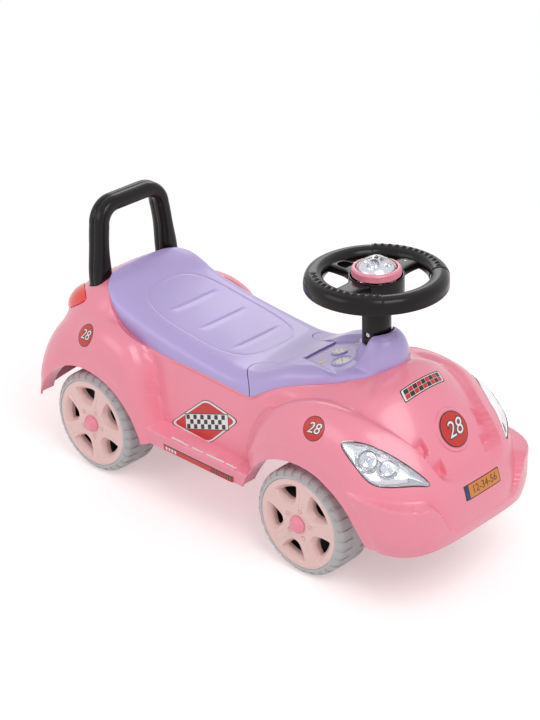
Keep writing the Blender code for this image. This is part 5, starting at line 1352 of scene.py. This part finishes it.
def make_steering_wheel():
    rim_in = STEERING_RADIUS - RIM_WIDTH
    middle = STEERING_RADIUS - RIM_WIDTH / 2
    outline = [(rim_in, RIM_LOW + 0.004), (rim_in, RIM_TOP - 0.009), (rim_in + 0.0035, RIM_TOP - 0.0025),
               (middle, RIM_TOP), (STEERING_RADIUS - 0.0035, RIM_TOP - 0.0025),
               (STEERING_RADIUS, RIM_TOP - 0.009), (STEERING_RADIUS, RIM_LOW),
               (STEERING_RADIUS - 0.0025, RIM_LOW), (middle, RIM_LOW + 0.008)]
    section = resample(rounded_loop(outline, 0.005, 7), 104)
    angles = np.arange(0, 720) * math.pi / 360
    rim = swept_ring("steering_skin", section, angles, rim_bump, "black")
    cup = rounded([(0, HUB_BOTTOM), (HUB_RADIUS, HUB_BOTTOM), (HUB_RADIUS, HUB_TOP),
                   (HUB_RADIUS - HUB_WALL, HUB_TOP), (HUB_RADIUS - HUB_WALL, HUB_BOTTOM + HUB_WALL),
                   (0, HUB_BOTTOM + HUB_WALL)], 0.0010, 5)
    pieces = [turned("hub_cup", cup, "black", 96)]
    for index, turn in enumerate((180, 0, 90)):
        pieces.append(spoke(f"spoke_{index}", turn, rim_in))
    cut(rim, pieces, "UNION")
    recess = [(0.0405, -0.0085), (0.0405, 0.0085), (0.050, 0.0085)] + arc((0.050, 0.0), 0.0085, 60, -60, 12)
    recess += [(0.050, -0.0085)]
    pocket = rounded_loop(recess, 0.002, 4)
    loops = [np.array([(-y * shrink, x, z) for x, y in pocket])
             for z, shrink in ((0.0065, 0.90), (0.0160, 1.08))]
    dent = loft("spoke_dent", loops, "black", caps=True)
    bore = turned("shaft_bore", [(0, -0.03), (0.0043, -0.03), (0.0043, 0.0), (0, 0.0)], "black", 32)
    cut(rim, [dent, bore])
    paint(rim, "black", sharp=32)
    on_column(tilt(rim))
    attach(rim, "steering")
    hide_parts("steering_wheel")
    dot = move(turned("spoke_dot", [(0, -0.0004), (0.0016, -0.0004), (0.0014, 0.0003), (0, 0.0004)],
                      "sticker_white", 24), (0.053, 0.0, 0.0117))
    on_column(tilt(dot))
    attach(dot, "steering")


def spoke(name, turn, rim_in):
    """A spoke that widens into the hub and the rim, with rounded long edges."""
    loops = []
    for share in np.linspace(0, 1, 26):
        x = HUB_RADIUS - 0.0022 + (rim_in + 0.006 - HUB_RADIUS + 0.0022) * share
        flare = 0.0035 * (math.exp(-share / 0.12) + math.exp(-(1 - share) / 0.12))
        low, top = 0.0020, 0.0115
        half = 0.0130 + flare
        outline = rounded_loop([(-half - 0.001, low), (half + 0.001, low), (half - 0.001, top - 0.0006),
                                (half * 0.45, top), (-half * 0.45, top), (-half + 0.001, top - 0.0006)], 0.0018, 5)
        loops.append(np.array([(x, y, z) for y, z in outline]))
    piece = loft(name, loops, "black", caps=True)
    piece.data.transform(Matrix.Rotation(math.radians(turn), 4, "Z"))
    return piece


def make_column():
    low = Vector((0.0, column_y(COLUMN_LOW_Z), COLUMN_LOW_Z))
    length = (STEERING_CENTRE.z + (HUB_BOTTOM - GAP) * math.cos(COLUMN_TILT) - COLUMN_LOW_Z) / math.cos(COLUMN_TILT)
    profile = rounded([(0.0043, 0), (COLUMN_RADIUS, 0), (COLUMN_RADIUS, length), (0.01525, length),
                       (0.01525, 0.004), (0.0043, 0.004), (0.0043, 0)], 0.0006, 4)
    tube = tilt(turned("column_skin", profile, "black", 96))
    move(tube, low)
    y = column_y(SCREW_HOLE_Z)
    hole = turned("screw_hole", [(0, -0.03), (0.0038, -0.03), (0.0038, -0.008), (0, -0.008)], "black", 48, (1, 0, 0))
    move(hole, (0, y, SCREW_HOLE_Z))
    cut(tube, [hole])
    paint(tube, "black", sharp=32)
    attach(tube, "steering")
    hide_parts("column_tube")
    screw = turned("column_screw", rounded([(0, -0.0152), (0.0033, -0.0152), (0.0030, -0.0166), (0.0012, -0.0168),
                                            (0.0011, -0.0158), (0, -0.0158)], 0.0003, 3), "steel", 40, (1, 0, 0))
    move(screw, (0, y, SCREW_HOLE_Z))
    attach(screw, "steering")


def make_hub_ring():
    low = HUB_TOP + GAP
    outline = [(DOME_RADIUS + 0.0008, low), (RING_RADIUS, low), (RING_RADIUS, low + RING_HEIGHT - 0.0022),
               (RING_RADIUS - 0.0022, low + RING_HEIGHT), (DOME_RADIUS + 0.0008, low + RING_HEIGHT)]
    section = resample(rounded_loop(outline, 0.0010, 5), 80)

    def knurl(angle, normal, points):
        wave = abs(math.sin(angle * 36))
        side = smooth_step(0.5, 0.9, normal[:, 0])
        window = smooth_step(low + 0.0010, low + 0.0022, points[:, 1]) * (
            1 - smooth_step(low + RING_HEIGHT - 0.0034, low + RING_HEIGHT - 0.0022, points[:, 1]))
        return -0.0009 * (1 - wave) ** 1.5 * side * window

    ring = swept_ring("hub_ring_skin", section, np.arange(0, 720) * math.pi / 360, knurl, "cap")
    on_column(tilt(ring))
    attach(ring, "steering")
    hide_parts("hub_ring")


def make_dome():
    brim = HUB_TOP + GAP - 0.0005
    line = HUB_TOP + GAP + RING_HEIGHT - 0.001
    bell = [(radius, line + dome_rise(radius)) for radius in np.linspace(0, DOME_RADIUS, 40)]
    outer = bell + [(DOME_RADIUS, brim + 0.0003), (DOME_RADIUS + 0.004, brim), (DOME_RADIUS + 0.004, brim - 0.0015)]
    inner = [(radius * (DOME_RADIUS - 0.0014) / DOME_RADIUS, height - 0.0013) for radius, height in bell[::-1]]
    inner = [(DOME_RADIUS - 0.0014, brim - 0.0015)] + inner
    dome = turned("dome_skin", outer + inner, "clear", 120)
    on_column(tilt(dome))
    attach(dome, "dome")
    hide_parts("dome_button")
    make_dome_dish(line)


BELL = ((0.0, 0.0145), (0.0062, 0.0130), (0.0124, 0.0099), (0.0186, 0.0060), (0.0225, 0.0027), (0.0245, 0.0))
BOWLS = (201.7, 291.7, 111.7, 21.7)
BOWL_PLACE = 0.0120
BOWL_RADIUS = 0.0074


def dome_rise(radius):
    """Height of the bell-shaped dome over the ring, at a distance from its middle."""
    return float(curve_through(BELL, np.array([radius]))[0])


def make_dome_dish(line):
    """A metallised cone with four bulb bowls, close under the dome, with a screw in its crown."""
    reach = DOME_RADIUS - 0.0020
    rows = np.linspace(0, reach, 84)
    angles = np.arange(0, 216) * math.pi / 108
    cups = [(BOWL_PLACE * math.cos(a), BOWL_PLACE * math.sin(a)) for a in np.radians(BOWLS)]
    top = []
    for radius in rows[::-1]:
        x = radius * np.cos(angles)
        y = radius * np.sin(angles)
        z = 0 * x + line + dome_rise(radius * DOME_RADIUS / reach) - 0.0026
        for cx, cy in cups:
            away = np.hypot(x - cx, y - cy) / BOWL_RADIUS
            bowl = 0.0080 - 0.0105 * np.sqrt(np.clip(1 - away ** 2 * 0.92, 0, 1))
            floor = np.maximum(line + bowl, line - 0.0020)
            z = np.where(away < 1, np.minimum(z, floor), z)
        top.append(np.stack([x, y, z], axis=1))
    base = [np.stack([reach * np.cos(angles), reach * np.sin(angles), 0 * angles + line - 0.0036], axis=1)]
    stem = [np.stack([0.006 * np.cos(angles), 0.006 * np.sin(angles), 0 * angles + z], axis=1)
            for z in (line - 0.0036, -0.0040 + 0.0120)]
    dish = loft("dome_dish", stem[::-1] + base + top, "silver", caps=False, merge=1e-6, sharp=30)
    seal_holes(dish)
    on_column(tilt(dish))
    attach(dish, "dome")
    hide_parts("dome_reflector")
    for index, (cx, cy) in enumerate(cups):
        profile = [(0, 0), (0.0024, 0), (0.0024, 0.0030)] + [
            (0.0024 * math.cos(a), 0.0030 + 0.0024 * math.sin(a)) for a in np.radians(np.linspace(10, 90, 8))]
        # Bulbs 1 and 2 take the magenta colour, a painted glint in the reflector cups; the others are clear
        bulb = turned(f"dome_bulb_{index}", profile, "magenta_glint" if index in (1, 2) else "clear", 32)
        move(bulb, (cx, cy, line - 0.0022))
        on_column(tilt(bulb))
        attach(bulb, "dome")
    crown = line + dome_rise(0.0) - 0.0026
    screw = turned("dome_screw", rounded([(0, -0.001), (0.0027, -0.001), (0.0025, 0.0006), (0.0010, 0.0008),
                                          (0.0008, 0.0002), (0, 0.0002)], 0.0003, 3), "nylon", 40)
    move(screw, (0, 0, crown))
    on_column(tilt(screw))
    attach(screw, "dome")


def seal_holes(item):
    work = bmesh.new()
    work.from_mesh(item.data)
    bmesh.ops.holes_fill(work, edges=[edge for edge in work.edges if edge.is_boundary])
    bmesh.ops.recalc_face_normals(work, faces=work.faces)
    work.to_mesh(item.data)
    work.free()


# Wheels, each modelled about its own hub with +X outwards

TREADS = 30
TREAD_DEPTH = 0.0016
COVER_FACE = 0.029
CAP_RADIUS = 0.0115


def tyre_surface():
    """Loops of the tyre's closed section, one for each angle, with pill-shaped grooves on both shoulders."""
    half = TYRE_HALF
    outline = [(-half, RIM_RADIUS), (-half, WHEEL_RADIUS - 0.0085), (-half + 0.0060, WHEEL_RADIUS - 0.0006),
               (0.0, WHEEL_RADIUS), (half - 0.0060, WHEEL_RADIUS - 0.0006), (half, WHEEL_RADIUS - 0.0085),
               (half, RIM_RADIUS)]
    line = resample(rounded_loop(outline, 0.0055, 8), 150)
    angles = np.arange(0, 900) * 2 * math.pi / 900
    pitch = 2 * math.pi / TREADS
    loops = []
    for angle in angles:
        x = line[:, 0]
        radius = line[:, 1]
        depth = 0.0 * x
        edge_dent = 0.0 * x
        for side, shift in ((1, 0.0), (-1, 0.5)):
            phase = ((angle / pitch + shift + 0.5) % 1.0 - 0.5) * pitch * WHEEL_RADIUS
            middle = side * 0.0180
            along = np.maximum(np.abs(x - middle) - 0.0075, 0.0)
            away = np.hypot(along, phase) / 0.0030
            groove = 1 - smooth_step(0.82, 1.0, away)
            depth = depth + TREAD_DEPTH * groove * smooth_step(WHEEL_RADIUS - 0.009, WHEEL_RADIUS - 0.004, radius)
            close = math.exp(-(phase / 0.0016) ** 2)
            near_edge = np.exp(-(((side * x - half) / 0.0040) ** 2)) * smooth_step(0.060, 0.064, radius)
            edge_dent = edge_dent + 0.0010 * close * near_edge
        moved = radius - depth - edge_dent * 0.7
        pulled = x - np.sign(x) * edge_dent * 0.7
        loops.append(np.stack([pulled, moved * math.cos(angle), moved * math.sin(angle)], axis=1))
    return loops


def cover_profile():
    return rounded([(0.0063, 0.0255), (0.0063, COVER_FACE - 0.0002), (0.0180, COVER_FACE - 0.0002),
                    (0.0245, COVER_FACE - 0.0002), (0.0520, COVER_FACE - 0.0004), (0.0545, COVER_FACE),
                    (RIM_RADIUS - GAP, COVER_FACE), (RIM_RADIUS - GAP, 0.0255), (0.0562, 0.0255),
                    (0.0562, 0.0160), (0.0130, 0.0160), (0.0130, 0.0255), (0.0063, 0.0255)], 0.0006, 4)


WINDOW_SLICES = ((0.0120, 0.0), (0.0218, 0.0), (0.0222, 0.02), (0.0284, 0.92), (0.0290, 1.02), (0.0305, 1.08))


def window_outline(share):
    """A rounded four-sided window, from its hole (0) to its wider outline in the cover's face (1)."""
    radius = 0.0470 + 0.0055 * share
    half = math.radians(19.5 + 3.5 * share)
    outline = [(radius * math.cos(angle), radius * math.sin(angle)) for angle in np.linspace(-half, half, 9)]
    waist = (0.0375 - 0.0010 * share, 0.0122 + 0.0033 * share)
    tip = (0.0300 - 0.0056 * share, 0.0052 + 0.0006 * share)
    outline += [waist, tip, (tip[0], -tip[1]), (waist[0], -waist[1])]
    return rounded_loop(outline, 0.0048, 6)


def cover_surface():
    cover = turned("cover_shape", cover_profile(), "pale", 144, (1, 0, 0))
    cutters = []
    for index in range(5):
        turn = math.radians(90 + 72 * index)
        loops = []
        for x, share in WINDOW_SLICES:
            flat = np.array(window_outline(share))
            y = flat[:, 0] * math.cos(turn) - flat[:, 1] * math.sin(turn)
            z = flat[:, 0] * math.sin(turn) + flat[:, 1] * math.cos(turn)
            loops.append(np.stack([0 * y + x, y, z], axis=1))
        cutters.append(loft(f"window_{index}", loops, "pale", caps=True))
        spoke_turn = math.radians(90 + 72 * index + 36)
        cutters.append(spoke_facet(f"facet_{index}", spoke_turn))
        ring = turned(f"lug_{index}", [(0.0020, -0.0014), (0.0032, -0.0014), (0.0036, 0.004), (0.0017, 0.004)], "pale",
                      28, (1, 0, 0), ring=True)
        move(ring, (COVER_FACE, 0.0190 * math.cos(spoke_turn), 0.0190 * math.sin(spoke_turn)))
        cutters.append(ring)
    cut(cover, cutters)
    paint(cover, "pale", sharp=28)
    return cover


def spoke_facet(name, turn):
    """A shallow flat channel down the middle of each spoke."""
    loops = []
    for x, half in ((COVER_FACE - 0.0009, 0.0052), (COVER_FACE + 0.002, 0.0075)):
        flat = np.array(rounded_loop([(0.0255, -half * 0.75), (0.0500, -half), (0.0500, half), (0.0255, half * 0.75)],
                                     0.0012, 4))
        y = flat[:, 0] * math.cos(turn) - flat[:, 1] * math.sin(turn)
        z = flat[:, 0] * math.sin(turn) + flat[:, 1] * math.cos(turn)
        loops.append(np.stack([0 * y + x, y, z], axis=1))
    return loft(name, loops, "pale", caps=True)


def cap_surface():
    start = COVER_FACE + GAP
    profile = rounded([(0, start - 0.0038), (0.0060, start - 0.0038), (0.0060, start), (CAP_RADIUS, start),
                       (CAP_RADIUS, start + 0.0018), (CAP_RADIUS - 0.0043, start + 0.0074), (0.0062, start + 0.0080),
                       (0.0056, start + 0.0076), (0, start + 0.0076)], 0.0009, 5)
    return turned("cap_shape", profile, "cap", 72, (1, 0, 0))


def rim_surface():
    half = TYRE_HALF
    outer = RIM_RADIUS - GAP
    front = 0.0252
    profile = rounded([(0.0049, -half + 0.002), (0.011, -half + 0.002), (0.011, -0.006), (outer - 0.0026, -0.006),
                       (outer - 0.0026, -half + 0.001), (outer, -half + 0.001), (outer, front),
                       (outer - 0.0026, front), (outer - 0.0026, -0.003), (0.011, -0.003), (0.011, front),
                       (0.0049, front), (0.0049, -half + 0.002)], 0.0005, 4)
    return turned("rim_shape", profile, "nylon", 120, (1, 0, 0))


def make_wheels():
    shapes = {"tyre": loft("tyre_shape", tyre_surface(), "tyre", ring=True, sharp=30),
              "rim": rim_surface(), "wheel_cover": cover_surface(), "hub_cap": cap_surface()}
    for place, y, phase in (("front", FRONT_AXLE_Y, 26.5), ("rear", REAR_AXLE_Y, 13.0)):
        for hand, side in (("right", -1), ("left", 1)):
            stand = Matrix.Translation((side * HUB_X, y, WHEEL_RADIUS))
            if side < 0:
                stand = stand @ Matrix.Rotation(math.pi, 4, "Z")
            for kind, shape in shapes.items():
                piece = shape.copy()
                piece.data = shape.data.copy()
                piece.name = f"{kind}_skin_{place}_{hand}"
                bpy.context.scene.collection.objects.link(piece)
                piece.data.transform(stand @ Matrix.Rotation(math.radians(phase), 4, "X"))
                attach(piece, f"{place}_{hand}_wheel")
                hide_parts(f"{kind}_{place}_{hand}")
    for shape in shapes.values():
        bpy.data.objects.remove(shape)


# The construction's own pieces that keep their shapes

KEPT = {
    "storage_tub": "pink", "front_beam": "nylon", "rear_beam": "nylon", "tie_rod": "nylon",
    "knuckle_r": "nylon", "knuckle_l": "nylon", "kingpin_r": "steel", "kingpin_l": "steel",
    "stub_axle_r": "steel", "stub_axle_l": "steel", "rear_axle": "steel", "steering_shaft": "steel",
    "column_bush": "nylon", "circuit_board": "board", "battery_r": "steel", "battery_l": "steel",
    "dome_spring": "steel"}


def dress_kept():
    for name, tint in KEPT.items():
        item = bpy.data.objects[name]
        item.data.materials.clear()
        item.data.materials.append(MATERIALS[tint])


# Camera, floor and light

def make_camera():
    camera = bpy.data.objects.new("camera", bpy.data.cameras.new("camera"))
    bpy.context.scene.collection.objects.link(camera)
    azimuth = math.radians(CAMERA_AZIMUTH)
    elevation = math.radians(CAMERA_ELEVATION)
    backward = Vector((math.cos(elevation) * math.sin(azimuth), -math.cos(elevation) * math.cos(azimuth),
                       math.sin(elevation)))
    right = Vector((0, 0, 1)).cross(backward).normalized()
    upward = backward.cross(right)
    turn = Matrix((right, upward, backward)).transposed() @ Matrix.Rotation(math.radians(CAMERA_ROLL), 3, "Z")
    camera.matrix_world = Matrix.Translation(CAMERA_PLACE) @ turn.to_4x4()
    camera.data.sensor_fit = "VERTICAL"
    camera.data.sensor_height = SENSOR_MM
    camera.data.lens = LENS_MM
    camera.data.dof.use_dof = False
    bpy.context.scene.camera = camera


def make_floor():
    mesh = bpy.data.meshes.new("floor")
    mesh.from_pydata([(-6, -6, 0), (6, -6, 0), (6, 6, 0), (-6, 6, 0)], [], [(0, 1, 2, 3)])
    floor = bpy.data.objects.new("floor", mesh)
    bpy.context.scene.collection.objects.link(floor)
    floor.data.materials.append(MATERIALS["floor"])
    floor.location.z = -0.0002


FLOOR_LIFT = 0.46


def seen_directly(nodes, links):
    """1 for rays from the camera, and for those that a metal reflects or a lens lets through."""
    path = nodes.new("ShaderNodeLightPath")
    most = nodes.new("ShaderNodeMath")
    most.operation = "MAXIMUM"
    links.new(path.outputs["Is Glossy Ray"], most.inputs[0])
    links.new(path.outputs["Is Transmission Ray"], most.inputs[1])
    either = nodes.new("ShaderNodeMath")
    either.operation = "MAXIMUM"
    links.new(path.outputs["Is Camera Ray"], either.inputs[0])
    links.new(most.outputs["Value"], either.inputs[1])
    return either.outputs["Value"]


def floor_material():
    """Near white, and whiter the farther it lies from the car, so that it meets the white backdrop."""
    tint = bpy.data.materials.new("studio_floor")
    tint.use_nodes = True
    nodes = tint.node_tree.nodes
    links = tint.node_tree.links
    shader = nodes["Principled BSDF"]
    shader.inputs["Base Color"].default_value = (0.90, 0.88, 0.88, 1)
    shader.inputs["Roughness"].default_value = 0.9
    shader.inputs["Specular IOR Level"].default_value = 0.1
    place = nodes.new("ShaderNodeTexCoord")
    span = nodes.new("ShaderNodeVectorMath")
    span.operation = "LENGTH"
    links.new(place.outputs["Object"], span.inputs[0])
    fade = nodes.new("ShaderNodeMapRange")
    fade.interpolation_type = "SMOOTHSTEP"
    fade.inputs["From Min"].default_value = 0.55
    fade.inputs["From Max"].default_value = 1.10
    links.new(span.outputs["Value"], fade.inputs["Value"])
    white = nodes.new("ShaderNodeEmission")
    white.inputs["Color"].default_value = (1, 1, 1, 1)
    lift = nodes.new("ShaderNodeEmission")
    lift.inputs["Color"].default_value = (1.0, 0.82, 0.83, 1)
    strength = nodes.new("ShaderNodeMath")
    strength.operation = "MULTIPLY"
    strength.inputs[1].default_value = FLOOR_LIFT
    links.new(seen_directly(nodes, links), strength.inputs[0])
    links.new(strength.outputs["Value"], lift.inputs["Strength"])
    lit = nodes.new("ShaderNodeAddShader")
    links.new(shader.outputs["BSDF"], lit.inputs[0])
    links.new(lift.outputs["Emission"], lit.inputs[1])
    mix = nodes.new("ShaderNodeMixShader")
    links.new(fade.outputs["Result"], mix.inputs["Fac"])
    links.new(lit.outputs["Shader"], mix.inputs[1])
    links.new(white.outputs["Emission"], mix.inputs[2])
    links.new(mix.outputs["Shader"], nodes["Material Output"].inputs["Surface"])
    return tint


def make_light(name, place, target, size, energy, colour=(1, 1, 1)):
    lamp = bpy.data.objects.new(name, bpy.data.lights.new(name, "AREA"))
    lamp.data.shape = "RECTANGLE"
    lamp.data.size = size[0]
    lamp.data.size_y = size[1]
    lamp.data.energy = energy
    lamp.data.color = colour
    bpy.context.scene.collection.objects.link(lamp)
    lamp.location = place
    lamp.rotation_euler = (Vector(target) - Vector(place)).to_track_quat("-Z", "Y").to_euler()


def make_world():
    world = bpy.data.worlds.new("studio")
    world.use_nodes = True
    bpy.context.scene.world = world
    nodes = world.node_tree.nodes
    links = world.node_tree.links
    soft = nodes["Background"]
    soft.inputs["Color"].default_value = (1, 1, 1, 1)
    soft.inputs["Strength"].default_value = 0.48
    plain = nodes.new("ShaderNodeBackground")
    plain.inputs["Color"].default_value = (1, 1, 1, 1)
    plain.inputs["Strength"].default_value = 1.0
    mix = nodes.new("ShaderNodeMixShader")
    links.new(seen_directly(nodes, links), mix.inputs["Fac"])
    links.new(soft.outputs["Background"], mix.inputs[1])
    links.new(plain.outputs["Background"], mix.inputs[2])
    links.new(mix.outputs["Shader"], nodes["World Output"].inputs["Surface"])


def make_stage():
    MATERIALS["floor"] = floor_material()
    make_floor()
    make_world()
    make_camera()
    make_light("key", (-0.55, -1.35, 2.1), (0, 0, 0.12), (1.3, 1.3), 21)
    make_light("fill", (-1.9, 0.9, 1.3), (0, 0, 0.15), (1.4, 1.0), 7)
    make_light("rim", (1.6, 1.5, 1.4), (0, 0, 0.15), (1.2, 0.8), 6)
    bpy.context.scene.view_settings.view_transform = "Standard"


def main():
    make_body()
    make_lamps()
    make_headlight_insides()
    make_handle()
    make_seat_and_dashboard()
    make_steering_wheel()
    make_column()
    make_hub_ring()
    make_dome()
    make_wheels()
    make_dials()
    make_stickers()
    dress_kept()
    make_stage()


main()
